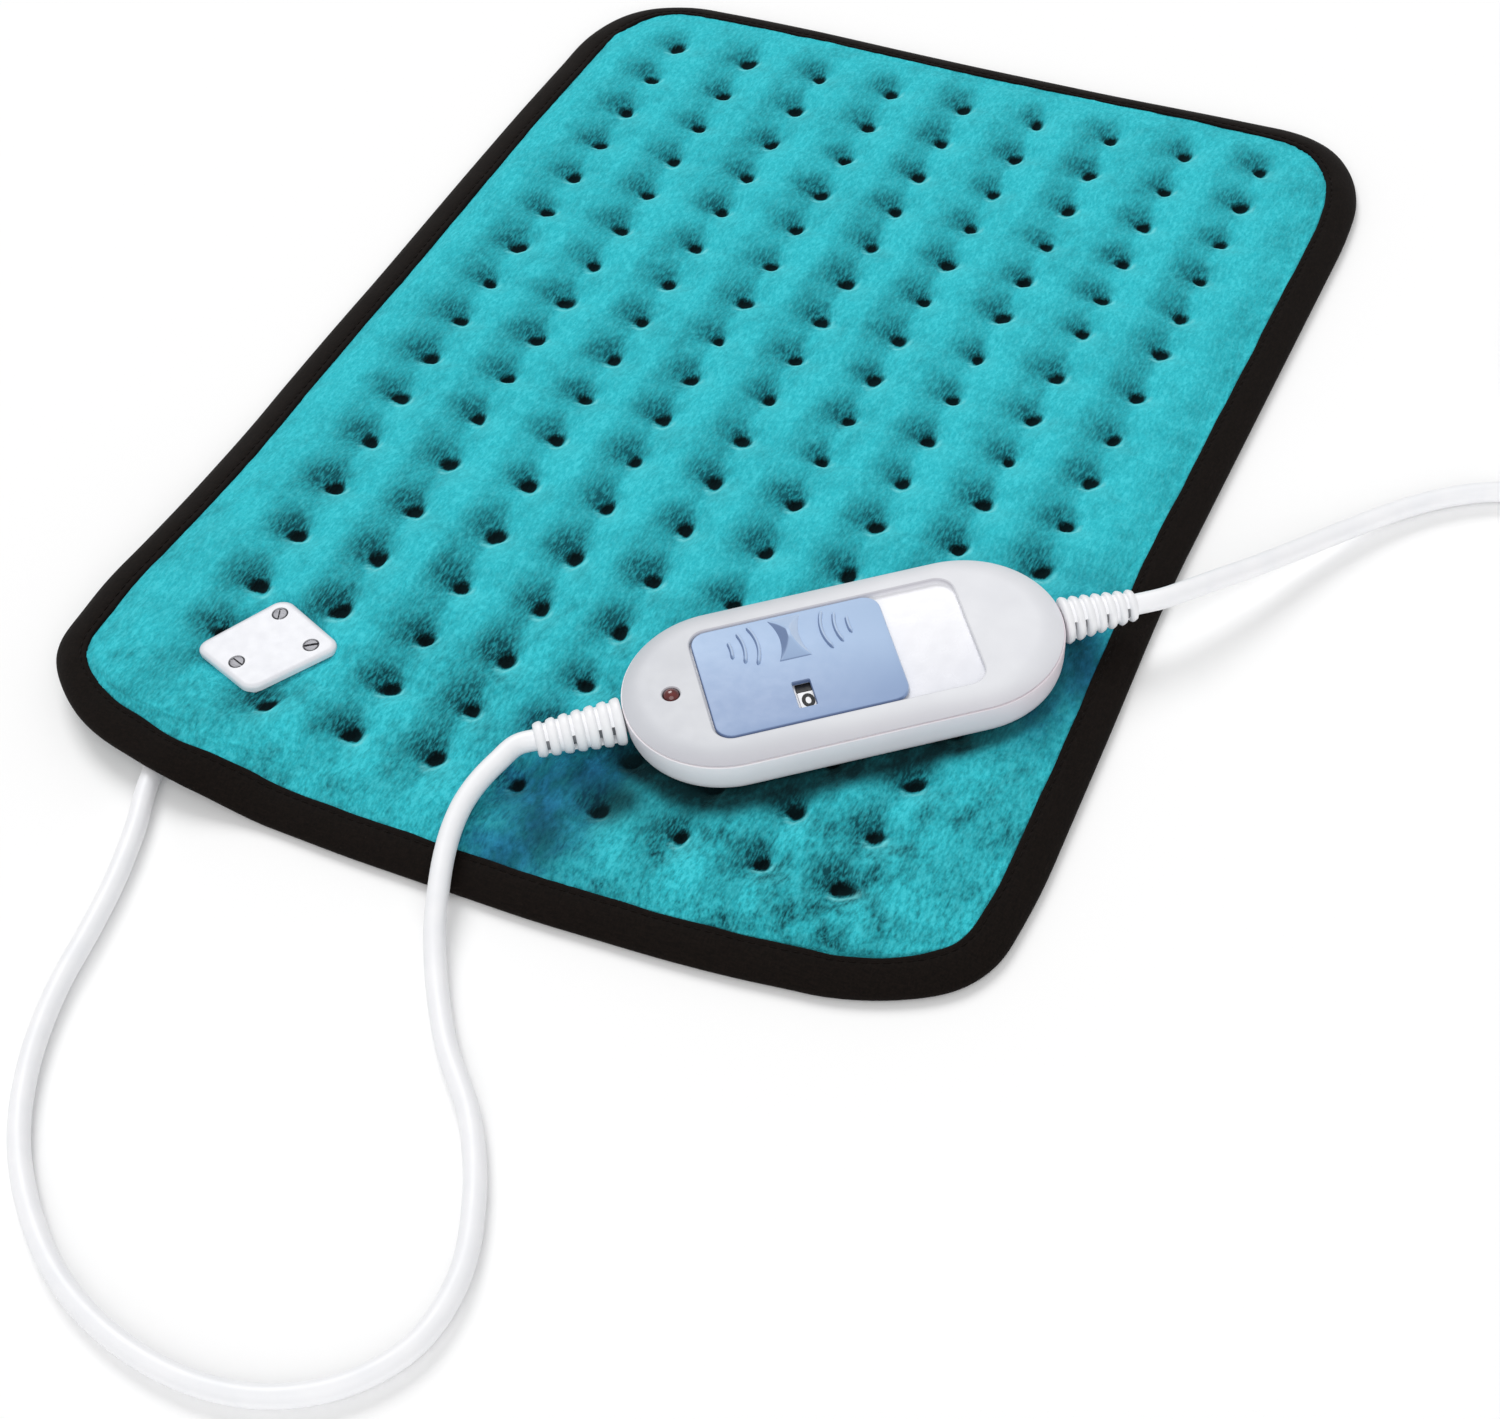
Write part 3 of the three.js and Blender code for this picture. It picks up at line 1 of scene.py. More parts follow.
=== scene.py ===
"""Looks of the heating pad with its controller. Metres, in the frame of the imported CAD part.

Helpers, the camera, places and cords come first, then the materials, the pad, its clamp, the controller,
the strain reliefs, the plug and the tie. What rides, the floor and the light come last.
Sizes and places are in millimetres unless a line says otherwise."""
import functools
import json
import math
from types import SimpleNamespace

import bmesh
import bpy
import numpy as np
from mathutils import Matrix, Vector


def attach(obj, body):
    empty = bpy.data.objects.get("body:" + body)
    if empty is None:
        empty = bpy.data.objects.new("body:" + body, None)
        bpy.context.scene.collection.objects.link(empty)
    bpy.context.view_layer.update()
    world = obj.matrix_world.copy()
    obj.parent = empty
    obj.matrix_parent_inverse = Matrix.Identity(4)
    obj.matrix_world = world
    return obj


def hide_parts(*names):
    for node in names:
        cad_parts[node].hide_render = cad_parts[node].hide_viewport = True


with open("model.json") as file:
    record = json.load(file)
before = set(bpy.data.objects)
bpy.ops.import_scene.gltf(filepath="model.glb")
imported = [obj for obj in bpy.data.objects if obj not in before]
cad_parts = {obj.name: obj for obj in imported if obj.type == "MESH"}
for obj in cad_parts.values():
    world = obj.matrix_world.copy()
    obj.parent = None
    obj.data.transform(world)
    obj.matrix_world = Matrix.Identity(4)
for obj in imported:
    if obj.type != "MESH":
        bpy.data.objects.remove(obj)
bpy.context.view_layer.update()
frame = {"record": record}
MM = 0.001
ROOT = "pad_with_housing"
SLIDER = "slider"


# Helpers for objects

DOUBLES = 1e-7


def link(name, data):
    ob = bpy.data.objects.new(name, data)
    bpy.context.scene.collection.objects.link(ob)
    return ob


def mesh_object(name, verts, faces, smooth=True):
    """A mesh object from points in millimetres."""
    mesh = bpy.data.meshes.new(name)
    mesh.from_pydata([[c * MM for c in v] for v in verts], [], [list(f) for f in faces])
    mesh.validate()
    if smooth:
        mesh.polygons.foreach_set("use_smooth", [True] * len(mesh.polygons))
    return link(name, mesh)


def tidy_normals(ob):
    """Joins points that coincide and turns the faces outwards."""
    work = bmesh.new()
    work.from_mesh(ob.data)
    bmesh.ops.remove_doubles(work, verts=work.verts, dist=DOUBLES)
    bmesh.ops.recalc_face_normals(work, faces=work.faces)
    work.to_mesh(ob.data)
    work.free()
    return ob


def smooth_by_angle(ob, degrees):
    """Smooth faces, with the edges that are sharper than the angle kept sharp."""
    work = bmesh.new()
    work.from_mesh(ob.data)
    limit = math.radians(degrees)
    for face in work.faces:
        face.smooth = True
    for edge in work.edges:
        edge.smooth = len(edge.link_faces) == 2 and edge.calc_face_angle(0) < limit
    work.to_mesh(ob.data)
    work.free()
    return ob


def merge(ob, others):
    """Puts the others' faces into one object, with their smoothing kept."""
    work = bmesh.new()
    work.from_mesh(ob.data)
    for other in others:
        work.from_mesh(other.data)
    work.to_mesh(ob.data)
    work.free()
    for other in others:
        bpy.data.objects.remove(other)
    return ob


def apply_modifiers(ob):
    graph = bpy.context.evaluated_depsgraph_get()
    made = bpy.data.meshes.new_from_object(ob.evaluated_get(graph))
    old = ob.data
    ob.modifiers.clear()
    ob.data = made
    bpy.data.meshes.remove(old)
    return ob


def combined(ob, operation, others):
    """Joins the others to a piece, or cuts them out of it, one after another."""
    for other in others:
        boolean = ob.modifiers.new("boolean", "BOOLEAN")
        boolean.operation = operation
        boolean.solver = "EXACT"
        boolean.object = other
        apply_modifiers(ob)
        bpy.data.objects.remove(other)
    return ob


def cut_away(ob, *tools):
    return combined(ob, "DIFFERENCE", tools)


def join_with(ob, *others):
    return combined(ob, "UNION", others)


def rounded_outline(length, width, radius, steps=8):
    """Points of a rounded rectangle, counterclockwise from its right side."""
    points = []
    mx, my = length / 2 - radius, width / 2 - radius
    for quarter, (sx, sy) in enumerate(((1, 1), (-1, 1), (-1, -1), (1, -1))):
        for step in range(steps + 1):
            a = (quarter + step / steps) * math.pi / 2
            points.append((sx * mx + radius * math.cos(a), sy * my + radius * math.sin(a)))
    return points


def strip_faces(rows, count, closed=True, ring=False):
    """Faces between neighbouring rows of points: each row may close on itself, and so may the rows."""
    faces = []
    for k in range(rows if ring else rows - 1):
        low, high = k * count, (k + 1) % rows * count
        for i in range(count if closed else count - 1):
            after = (i + 1) % count
            faces.append((low + i, low + after, high + after, high + i))
    return faces


def tube_faces(rows, count, first=0):
    """Side and end faces of a closed body through rows of points, numbered from first."""
    faces = strip_faces(rows, count)
    faces.append(tuple(reversed(range(count))))
    faces.append(tuple(range((rows - 1) * count, rows * count)))
    return [tuple(first + point for point in face) for face in faces]


def skinned(name, rows, smooth=True):
    """A closed body through rows of points with equal counts."""
    verts = [point for row in rows for point in row]
    return tidy_normals(mesh_object(name, verts, tube_faces(len(rows), len(rows[0])), smooth))


def lofted(name, levels, smooth=True):
    """A closed body through level outlines [(points, z)] with equal counts."""
    return skinned(name, [[(x, y, z) for x, y in outline] for outline, z in levels], smooth)


def plate(name, outline, low, high):
    return lofted(name, [(outline, low), (outline, high)], smooth=False)


def turned(name, profile, sides=48):
    """A body of revolution about Z from (radius, height) points, closed on the axis."""
    verts, faces, rings = [], [], []
    for r, z in profile:
        around = np.arange(sides if r else 1) * 2 * math.pi / sides
        rings.append([len(verts) + k for k in range(len(around))])
        verts += [(r * math.cos(a), r * math.sin(a), z) for a in around]
    for a, b in zip(rings, rings[1:]):
        for k in range(sides if len(a) + len(b) > 2 else 0):
            n = (k + 1) % sides
            if len(a) == 1:
                faces.append((a[0], b[n], b[k]))
            elif len(b) == 1:
                faces.append((a[k], a[n], b[0]))
            else:
                faces.append((a[k], a[n], b[n], b[k]))
    return tidy_normals(mesh_object(name, verts, faces))


def at(x, y, z=0, turn=0):
    """A place, turned about Z by degrees."""
    return Matrix.Translation((x * MM, y * MM, z * MM)) @ Matrix.Rotation(math.radians(turn), 4, "Z")


def moved(ob, matrix):
    """Places a piece by its vertices, so that its object stays at the origin."""
    ob.data.transform(matrix)
    ob.data.update()
    return ob


def finish_piece(ob, look_name, slot, *replaces, body=ROOT):
    ob.data.materials.clear()
    ob.data.materials.append(look(look_name))
    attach(ob, body)
    if replaces:
        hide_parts(*replaces)
    return ob


def smooth(v):
    """An even step: 0 below 0, 1 above 1 and soft between."""
    t = np.clip(v, 0, 1)
    return t * t * (3 - 2 * t)


# Camera, in metres, as fitted to the rows of tufts in the photo

LENS, SENSOR = 64.39, 36
CAMERA_PLACE = (0.31755, -0.55496, 0.58054)
CAMERA_RIGHT = (0.9001, 0.4279, -0.0817)
CAMERA_FORWARD = (-0.3401, 0.5731, -0.7456)
NEAREST, FARTHEST = 0.05, 20


def make_camera():
    forward = Vector(CAMERA_FORWARD).normalized()
    down = forward.cross(Vector(CAMERA_RIGHT).normalized())
    right = down.cross(forward)
    data = bpy.data.cameras.new("camera")
    data.lens, data.sensor_width = LENS, SENSOR
    data.clip_start, data.clip_end = NEAREST, FARTHEST
    ob = link("camera", data)
    turn = Matrix((right, -down, -forward)).transposed().to_4x4()
    ob.matrix_world = Matrix.Translation(CAMERA_PLACE) @ turn
    bpy.context.scene.camera = ob


make_camera()


# Places of the controller, the clamp and the plug

LENGTH, WIDTH, HEIGHT = 128.6, 59.6, 13.5
CONTROLLER_TURN, CORD_HEIGHT = 38.4, 6.9
CONTROLLER = at(78.7, -97.6, 8.8, CONTROLLER_TURN)
PLATE_LENGTH, PLATE_WIDTH, PLATE_CORNER = 27.6, 30, 4.5
CLAMP = at(-84.8, -149.5, 0, -26)
PLUG_MOUTH = (262, 184, 6.95)
PLUG = at(*PLUG_MOUTH, 180)


# Cords

CORD = 6.2
INSIDE, OUTSIDE = 2, 6.5
RELIEF_GAP, SLEEVE_REACH = 0.3, 24
SLEEVE_END = LENGTH / 2 + RELIEF_GAP + SLEEVE_REACH
BOOT_X, BOOT_HEIGHT, BOOT_END, BOOT_OUT = 4, 3.2, -32.5, -40.6
COIL_X, COIL_Y, COIL_LOW, COIL_START = 267.5, 110, 4.05, math.radians(-70)
COIL_RADIUS, COIL_PITCH, COIL_TURNS, LOW_TURNS = 35.5, 7.0, 6.25, 2.875
PER_SPAN, PER_TURN = 8, 32


def point_in(place, x, y, z):
    """Where a point of a placed piece lies in the whole scene."""
    return [c / MM for c in place @ Vector((x * MM, y * MM, z * MM))]


def smooth_route(points, per_span=PER_SPAN):
    """A centripetal curve through the points, as the CAD's cords follow."""
    p = np.array(points, float)
    p = np.vstack([2 * p[0] - p[1], p, 2 * p[-1] - p[-2]])
    out = []
    for k in range(1, len(p) - 2):
        p0, p1, p2, p3 = p[k - 1 : k + 3]
        d0, d1, d2 = (np.sqrt(np.linalg.norm(b - a)) for a, b in ((p0, p1), (p1, p2), (p2, p3)))
        m1 = ((p1 - p0) / d0 - (p2 - p0) / (d0 + d1) + (p2 - p1) / d1) * d1
        m2 = ((p2 - p1) / d1 - (p3 - p1) / (d1 + d2) + (p3 - p2) / d2) * d1
        for t in np.arange(per_span) / per_span:
            h = (2 * t**3 - 3 * t**2 + 1, t**3 - 2 * t**2 + t, -2 * t**3 + 3 * t**2, t**3 - t**2)
            out.append(h[0] * p1 + h[1] * m1 + h[2] * p2 + h[3] * m2)
    out.append(p[-2])
    return np.array(out)


def cord_curve(name, points, diameter):
    data = bpy.data.curves.new(name, "CURVE")
    data.dimensions = "3D"
    data.bevel_depth = diameter / 2 * MM
    data.bevel_resolution = 8
    data.use_fill_caps = True
    spline = data.splines.new("POLY")
    spline.points.add(len(points) - 1)
    for point, place in zip(spline.points, points):
        point.co = (*(place * MM), 1)
    spline.use_smooth = True
    return link(name, data)


def coil_points():
    """Spirals in on the lower layer, climbs in the half turn at its middle, spirals out above."""
    out = []
    for step in range(int(COIL_TURNS * PER_TURN) + 1):
        turn = step / PER_TURN
        wound = min(turn, COIL_TURNS - turn)
        radius = COIL_RADIUS + COIL_PITCH * (LOW_TURNS / 2 - wound)
        angle = COIL_START + turn * 2 * math.pi
        z = COIL_LOW + COIL_PITCH * smooth(2 * (turn - LOW_TURNS))
        out.append((COIL_X + radius * math.cos(angle), COIL_Y + radius * math.sin(angle), z))
    return np.array(out)


# Ends of the cords, just inside the pieces that they leave, with the next point outside
LEFT_TIP = point_in(CONTROLLER, INSIDE - SLEEVE_END, 0, CORD_HEIGHT)
LEFT_NEXT = point_in(CONTROLLER, -SLEEVE_END - OUTSIDE, 0, CORD_HEIGHT)
RIGHT_TIP = point_in(CONTROLLER, SLEEVE_END - INSIDE, 0, CORD_HEIGHT)
RIGHT_NEXT = point_in(CONTROLLER, SLEEVE_END + OUTSIDE, 0, CORD_HEIGHT)
BOOT_TIP = point_in(CLAMP, BOOT_X, BOOT_END, BOOT_HEIGHT)
BOOT_NEXT = point_in(CLAMP, BOOT_X, BOOT_OUT, BOOT_HEIGHT)

PAD_LEAD = [
    (1.7, -163.4, 15.1), (-0.5, -171.2, 14.0), (-1.4, -178.9, 12.7), (-0.7, -187.2, 11.3),
    (1.4, -195.8, 9.9), (5.0, -205.8, 8.2), (9.0, -215.4, 6.0), (14.2, -224.8, 4.3),
    (20.9, -234.9, 3.3), (30.4, -247.2, 3.2), (47.2, -264.5, 3.2), (60.0, -285.0, 3.2),
    (67.4, -306.0, 3.2), (66.4, -325.5, 3.2), (56.7, -340.9, 3.2), (41.0, -351.3, 3.2),
    (22.0, -355.6, 3.2), (-2.0, -353.6, 3.2), (-25.4, -345.1, 3.2), (-44.6, -331.4, 3.2),
    (-60.2, -314.4, 3.2), (-71.6, -293.5, 3.2), (-78.4, -271.7, 3.2), (-81.7, -251.0, 3.2),
    (-85.2, -233.3, 3.2), (-90.4, -215.8, 3.2), (-96.0, -201.5, 3.2),
]
MAINS_LEAD = [
    (158.8, -31.6, 14.8), (165.2, -22.6, 13.1), (171.4, -13.6, 11.1), (179.4, -0.9, 8.3),
    (187.6, 11.9, 5.9), (196.3, 24.1, 4.2), (205.5, 34.8, 3.5), (215.3, 43.2, 3.3),
    (226.5, 49.6, 3.3), (248.0, 56.0, 3.6),
]
MAINS_TAIL = [(305.6, 141.5, 9.8), (299.6, 154.0, 7.0), (291.4, 166.0, 4.6)]

pad_route = smooth_route([LEFT_TIP, LEFT_NEXT, *PAD_LEAD, BOOT_NEXT, BOOT_TIP])
coil = coil_points()
mains_in = smooth_route([RIGHT_TIP, RIGHT_NEXT, *MAINS_LEAD, coil[0], coil[2]])[:-PER_SPAN]
plug_ends = [(PLUG_MOUTH[0] + step, *PLUG_MOUTH[1:]) for step in (OUTSIDE, -INSIDE)]
mains_out = smooth_route([coil[-3], coil[-1], *MAINS_TAIL, *plug_ends])[PER_SPAN + 1 :]
mains_route = np.vstack([mains_in[:-1], coil, mains_out])
pad_lead = cord_curve("lead_of_pad", pad_route, CORD)
mains_cord = cord_curve("lead_of_mains", mains_route, CORD)


# Materials

# Level directions in the scene
NEAR_RIGHT, FAR_LEFT, NEAR = (0.45, -0.9), (-0.45, 0.9), (-0.2, -1)
ALONG_CONTROLLER = (0.784, 0.621)


def srgb(*c):
    """A colour given as it shows on screen, 0 to 255, as scene values."""
    shares = [v / 255 for v in c]
    return tuple(s / 12.92 if s <= 0.04045 else ((s + 0.055) / 1.055) ** 2.4 for s in shares)


class Nodes:
    """Short ways to lay out one material's nodes."""

    def __init__(self, name):
        self.material = bpy.data.materials.new(name)
        self.material.use_nodes = True
        self.tree = self.material.node_tree
        self.shader = self.tree.nodes["Principled BSDF"]
        self.place = self.node("ShaderNodeTexCoord").outputs["Object"]

    def node(self, kind, **values):
        made = self.tree.nodes.new(kind)
        for key, value in values.items():
            setattr(made, key, value)
        return made

    def put(self, value, socket):
        if isinstance(value, bpy.types.NodeSocket):
            self.tree.links.new(value, socket)
        elif isinstance(value, tuple) and len(value) == 3 and socket.type == "RGBA":
            socket.default_value = (*value, 1)
        else:
            socket.default_value = value

    def noise(self, size, detail=2.0, stretch=(1, 1, 1), rough=0.5, turn=(0, 0, 0)):
        """Noise whose grains are about size millimetres, times the stretch of each direction."""
        mapping = self.node("ShaderNodeMapping")
        mapping.inputs["Rotation"].default_value = turn
        mapping.inputs["Scale"].default_value = [1 / s for s in stretch]
        self.put(self.place, mapping.inputs["Vector"])
        noise = self.node("ShaderNodeTexNoise")
        self.put(mapping.outputs[0], noise.inputs["Vector"])
        noise.inputs["Scale"].default_value = 1 / (size * MM)
        noise.inputs["Detail"].default_value = detail
        noise.inputs["Roughness"].default_value = rough
        return noise.outputs["Fac"]

    def cloud(self, size, low=0.0, high=1.0, detail=2):
        """Soft clouds between two values."""
        return self.span(self.noise(size, detail), 0.3, 0.7, low, high)

    def attribute(self, name):
        return self.node("ShaderNodeAttribute", attribute_name=name).outputs["Fac"]

    def math(self, operation, *values):
        made = self.node("ShaderNodeMath", operation=operation)
        for value, socket in zip(values, made.inputs):
            self.put(value, socket)
        return made.outputs[0]

    def plus(self, a, b):
        return self.math("ADD", a, b)

    def times(self, a, b):
        return self.math("MULTIPLY", a, b)

    def rest_of(self, share):
        """What a share leaves of 1."""
        return self.math("SUBTRACT", 1.0, share)

    def span(self, value, low, high, to_low, to_high, kind="LINEAR"):
        made = self.node("ShaderNodeMapRange", interpolation_type=kind)
        for v, socket in zip((value, low, high, to_low, to_high), made.inputs):
            self.put(v, socket)
        return made.outputs[0]

    def soft_span(self, *values):
        return self.span(*values, kind="SMOOTHSTEP")

    def mix(self, share, first, second):
        made = self.node("ShaderNodeMix", data_type="RGBA")
        self.put(share, made.inputs["Factor"])
        self.put(first, made.inputs[6])
        self.put(second, made.inputs[7])
        return made.outputs[2]

    def bump(self, height, strength, depth):
        made = self.node("ShaderNodeBump")
        made.inputs["Strength"].default_value = strength
        made.inputs["Distance"].default_value = depth * MM
        self.put(height, made.inputs["Height"])
        self.put(made.outputs[0], self.shader.inputs["Normal"])

    def shade(self, **values):
        for key, value in values.items():
            self.put(value, self.shader.inputs[key.replace("_", " ")])

    def toward(self, direction, vector):
        """How far a vector reaches in one level direction."""
        dot = self.node("ShaderNodeVectorMath", operation="DOT_PRODUCT")
        self.put(vector, dot.inputs[0])
        dot.inputs[1].default_value = (*direction, 0)
        return dot.outputs["Value"]

    def along(self, direction, low, high):
        """Share from 0 to 1 by the place along one level direction, in millimetres."""
        return self.span(self.toward(direction, self.place), low * MM, high * MM, 0.0, 1.0)

    def facing(self, direction, low, high, most):
        """Share from 0 up to most for faces that lean towards one level direction."""
        normal = self.node("ShaderNodeTexCoord").outputs["Normal"]
        return self.soft_span(self.toward(direction, normal), low, high, 0.0, most)


def moulded(name, colour, other, rough, size=3.0, grain=0.5, depth=0.012):
    """Moulded plastic: a faint cloudiness of its colour and shine, and a fine grain."""
    n = Nodes(name)
    n.shade(Base_Color=n.mix(n.cloud(size, detail=3), srgb(*colour), srgb(*other)))
    n.shade(Roughness=n.cloud(size * 0.6, rough - 0.04, rough + 0.05))
    n.bump(n.noise(grain, 1), 0.35, depth)
    return n.material


def metal(name, colour, other, rough):
    """Drawn metal with fine lines."""
    n = Nodes(name)
    lines = n.noise(0.5, 3, (6, 1, 1))
    n.shade(Base_Color=n.mix(n.span(lines, 0.3, 0.7, 0.0, 1.0), srgb(*colour), srgb(*other)), Metallic=1.0)
    n.shade(Roughness=n.span(lines, 0.3, 0.7, rough - 0.07, rough + 0.1))
    n.bump(lines, 0.3, 0.01)
    return n.material


def plush_dark(n, parts, streaks):
    """How much dark the parts show together, broken up by streaks."""
    keep = 1.0
    for part in parts:
        keep = n.times(keep, n.rest_of(part))
    dark = n.times(n.rest_of(keep), n.span(streaks, 0.34, 0.62, 0.62, 1.12))
    return n.math("MINIMUM", dark, 0.96)


def plush_look():
    """Turquoise pile: painted shade at the tufts and in their pits, painted light on slopes that face the
    light, painted blue shade and shadow near the controller, and darker mottling on the side near the camera.
    """
    n = Nodes("plush")
    names = ("pit", "smear", "shade", "rim_light", "tint", "shadow")
    pit, smear, shade, rim_light, tint, shadow = (n.attribute(a) for a in names)
    streaks = n.noise(0.7, 2, (1, 3.6, 1), 0.5, (0, 0, 0.12))
    fibres = n.noise(1.2, 2, (1, 2.4, 1), 0.6, (0, 0, 0.12))
    tips = n.noise(0.8, 2, (1, 1.4, 1), 0.6)
    patches = n.noise(12, 3, (1, 1.3, 1), 0.5)
    fine = n.noise(4.5, 3, (1, 1.5, 1), 0.6)
    near_side = n.along(NEAR_RIGHT, 70, 200)

    # Painted shade on slopes that face away from the light
    slope_dark = n.soft_span(shade, -0.02, 0.34, 0.0, 0.42)
    rough_patch = n.times(n.soft_span(patches, 0.4, 0.66, 0.0, 0.55), n.span(fine, 0.35, 0.65, 0.2, 1.2))
    rough_patch = n.times(rough_patch, n.plus(near_side, 0.4))
    grain = n.times(n.span(fibres, 0.46, 0.7, 0.0, 0.34), n.plus(near_side, 0.35))
    # All the painted shade together, with darker mottling that grows towards the near side
    dark = plush_dark(n, (smear, slope_dark, rough_patch, grain), streaks)

    colour = n.mix(n.span(tips, 0.3, 0.72, 0.0, 1.0), srgb(44, 185, 199), srgb(64, 204, 215))
    # Painted light on slopes that face the light
    colour = n.mix(n.soft_span(shade, -0.05, -0.4, 0.0, 0.35), colour, srgb(88, 214, 223))
    colour = n.mix(n.span(fibres, 0.5, 0.32, 0.0, 0.6), colour, srgb(80, 216, 228))
    # The colour of the painted shade and the darker mottling, darker towards the near side
    deep = n.mix(n.along(NEAR, 40, 150), srgb(14, 84, 94), srgb(7, 54, 62))
    colour = n.mix(dark, colour, deep)
    colour = n.mix(n.times(rim_light, 0.7), colour, srgb(128, 228, 234))
    # Painted blue shade under the controller's two ends
    blue_shade = n.mix(n.span(fine, 0.4, 0.62, 0.0, 1.0), srgb(12, 60, 96), srgb(42, 128, 170))
    blue_shade = n.mix(grain, blue_shade, srgb(6, 44, 70))
    colour = n.mix(n.times(tint, n.span(fine, 0.3, 0.7, 0.75, 1.0)), colour, blue_shade)
    # Painted shade in the pits: their cores nearly black
    ragged = n.plus(pit, n.times(n.math("SUBTRACT", streaks, 0.5), 0.4))
    pit_shade = n.soft_span(ragged, 0.15, 0.8, 0.0, 0.98)
    colour = n.mix(pit_shade, colour, srgb(3, 12, 14))
    under = n.times(shadow, n.span(fine, 0.3, 0.7, 0.85, 1.05))
    colour = n.mix(n.math("MINIMUM", under, 0.97), colour, srgb(8, 30, 34))

    n.shade(Base_Color=colour, Roughness=0.95, Sheen_Roughness=0.5, Specular_IOR_Level=0.08)
    n.shade(Sheen_Weight=n.span(pit_shade, 0.0, 0.6, 0.06, 0.0), Sheen_Tint=srgb(150, 235, 240))
    n.bump(n.plus(tips, streaks), 0.7, 0.6)
    return n.material


def binding_look():
    n = Nodes("binding_tape")
    weave = n.plus(n.noise(0.45, 1, (1, 5, 1)), n.noise(0.45, 1, (5, 1, 1)))
    n.shade(Base_Color=n.mix(n.span(weave, 0.7, 1.3, 0.0, 1.0), srgb(8, 4, 2), srgb(20, 13, 9)))
    n.shade(Roughness=0.85, Specular_IOR_Level=0.12, Sheen_Weight=0.02, Sheen_Roughness=0.5)
    n.bump(weave, 0.5, 0.12)
    return n.material


def felt_look():
    n = Nodes("felt")
    fibres = n.plus(n.noise(0.5, 4, (5, 1, 1)), n.noise(0.5, 4, (1, 6, 1)))
    light = n.span(fibres, 0.75, 1.25, 0.0, 1.0)
    n.shade(Base_Color=n.mix(light, srgb(206, 198, 182), srgb(236, 230, 216)), Roughness=0.96)
    n.shade(Sheen_Weight=0.2)
    n.bump(fibres, 0.6, 0.25)
    return n.material


def board_look():
    """Circuit board: lighter lines between green fields."""
    n = Nodes("board_green")
    tracks = n.node("ShaderNodeTexBrick")
    n.put(n.place, tracks.inputs["Vector"])
    n.put(160, tracks.inputs["Scale"])
    n.put(0.05, tracks.inputs["Mortar Size"])
    n.put(srgb(22, 96, 52), tracks.inputs["Color1"])
    n.put(srgb(28, 112, 62), tracks.inputs["Color2"])
    n.put(srgb(58, 138, 84), tracks.inputs["Mortar"])
    n.shade(Base_Color=n.mix(n.cloud(4, high=0.35), tracks.outputs["Color"], srgb(16, 74, 40)))
    n.shade(Roughness=n.cloud(2, 0.3, 0.45))
    n.bump(tracks.outputs["Fac"], 0.3, 0.05)
    return n.material


RESISTOR, BROWN, BLACK, GOLD = (188, 150, 104), (150, 66, 26), (20, 18, 18), (196, 160, 60)
RESISTOR_BANDS = (
    (0, RESISTOR), (0.28, BROWN), (0.36, RESISTOR), (0.46, BLACK), (0.54, RESISTOR), (0.66, GOLD),
    (0.74, RESISTOR),
)


def resistor_look():
    n = Nodes("resistor_tan")
    part = n.node("ShaderNodeSeparateXYZ")
    n.put(n.node("ShaderNodeTexCoord").outputs["Generated"], part.inputs[0])
    ramp = n.node("ShaderNodeValToRGB")
    n.put(part.outputs[0], ramp.inputs[0])
    ramp.color_ramp.interpolation = "CONSTANT"
    while len(ramp.color_ramp.elements) < len(RESISTOR_BANDS):
        ramp.color_ramp.elements.new(0.5)
    for element, (where, colour) in zip(ramp.color_ramp.elements, RESISTOR_BANDS):
        element.position = where
        element.color = (*srgb(*colour), 1)
    n.shade(Base_Color=n.mix(n.cloud(0.8, high=0.2), ramp.outputs[0], srgb(150, 118, 84)), Roughness=0.35)
    n.bump(n.noise(0.6, 2), 0.3, 0.03)
    return n.material


def lamp_look():
    n = Nodes("lamp_red")
    n.shade(Base_Color=n.mix(n.cloud(1.6), srgb(84, 30, 30), srgb(112, 44, 42)))
    n.shade(Roughness=n.cloud(1.6, 0.12, 0.2), Coat_Weight=0.6, Coat_Roughness=0.08)
    n.bump(n.noise(0.9, 1), 0.15, 0.02)
    return n.material


def glass_look():
    n = Nodes("fuse_glass")
    n.shade(Base_Color=n.mix(n.cloud(2), srgb(222, 234, 236), srgb(240, 246, 247)))
    n.shade(Roughness=n.cloud(2, 0.03, 0.09), Transmission_Weight=0.8)
    n.bump(n.noise(1.5, 1), 0.1, 0.02)
    return n.material


def slider_look():
    """Pale blue, darker on its near faces and lighter on its far ones, as in the photo."""
    n = Nodes("slider_blue")
    cloud = n.cloud(26)
    # Painted shade: a darker copy of the blue towards the slider's near side
    far = n.mix(cloud, srgb(164, 189, 222), srgb(170, 194, 226))
    near = n.mix(cloud, srgb(136, 159, 197), srgb(142, 165, 201))
    colour = n.mix(n.along(FAR_LEFT, -139, -117), near, far)
    # Painted shade on the near faces and painted light on the far faces
    colour = n.mix(n.facing((-0.18, -0.98), 0.06, 0.4, 0.72), colour, srgb(84, 102, 144))
    colour = n.mix(n.facing((0.18, 0.98), 0.06, 0.4, 0.6), colour, srgb(212, 226, 246))
    n.shade(Base_Color=colour, Roughness=n.cloud(3, 0.34, 0.42), Specular_IOR_Level=0.4)
    n.bump(n.noise(0.5, 1), 0.3, 0.01)
    return n.material


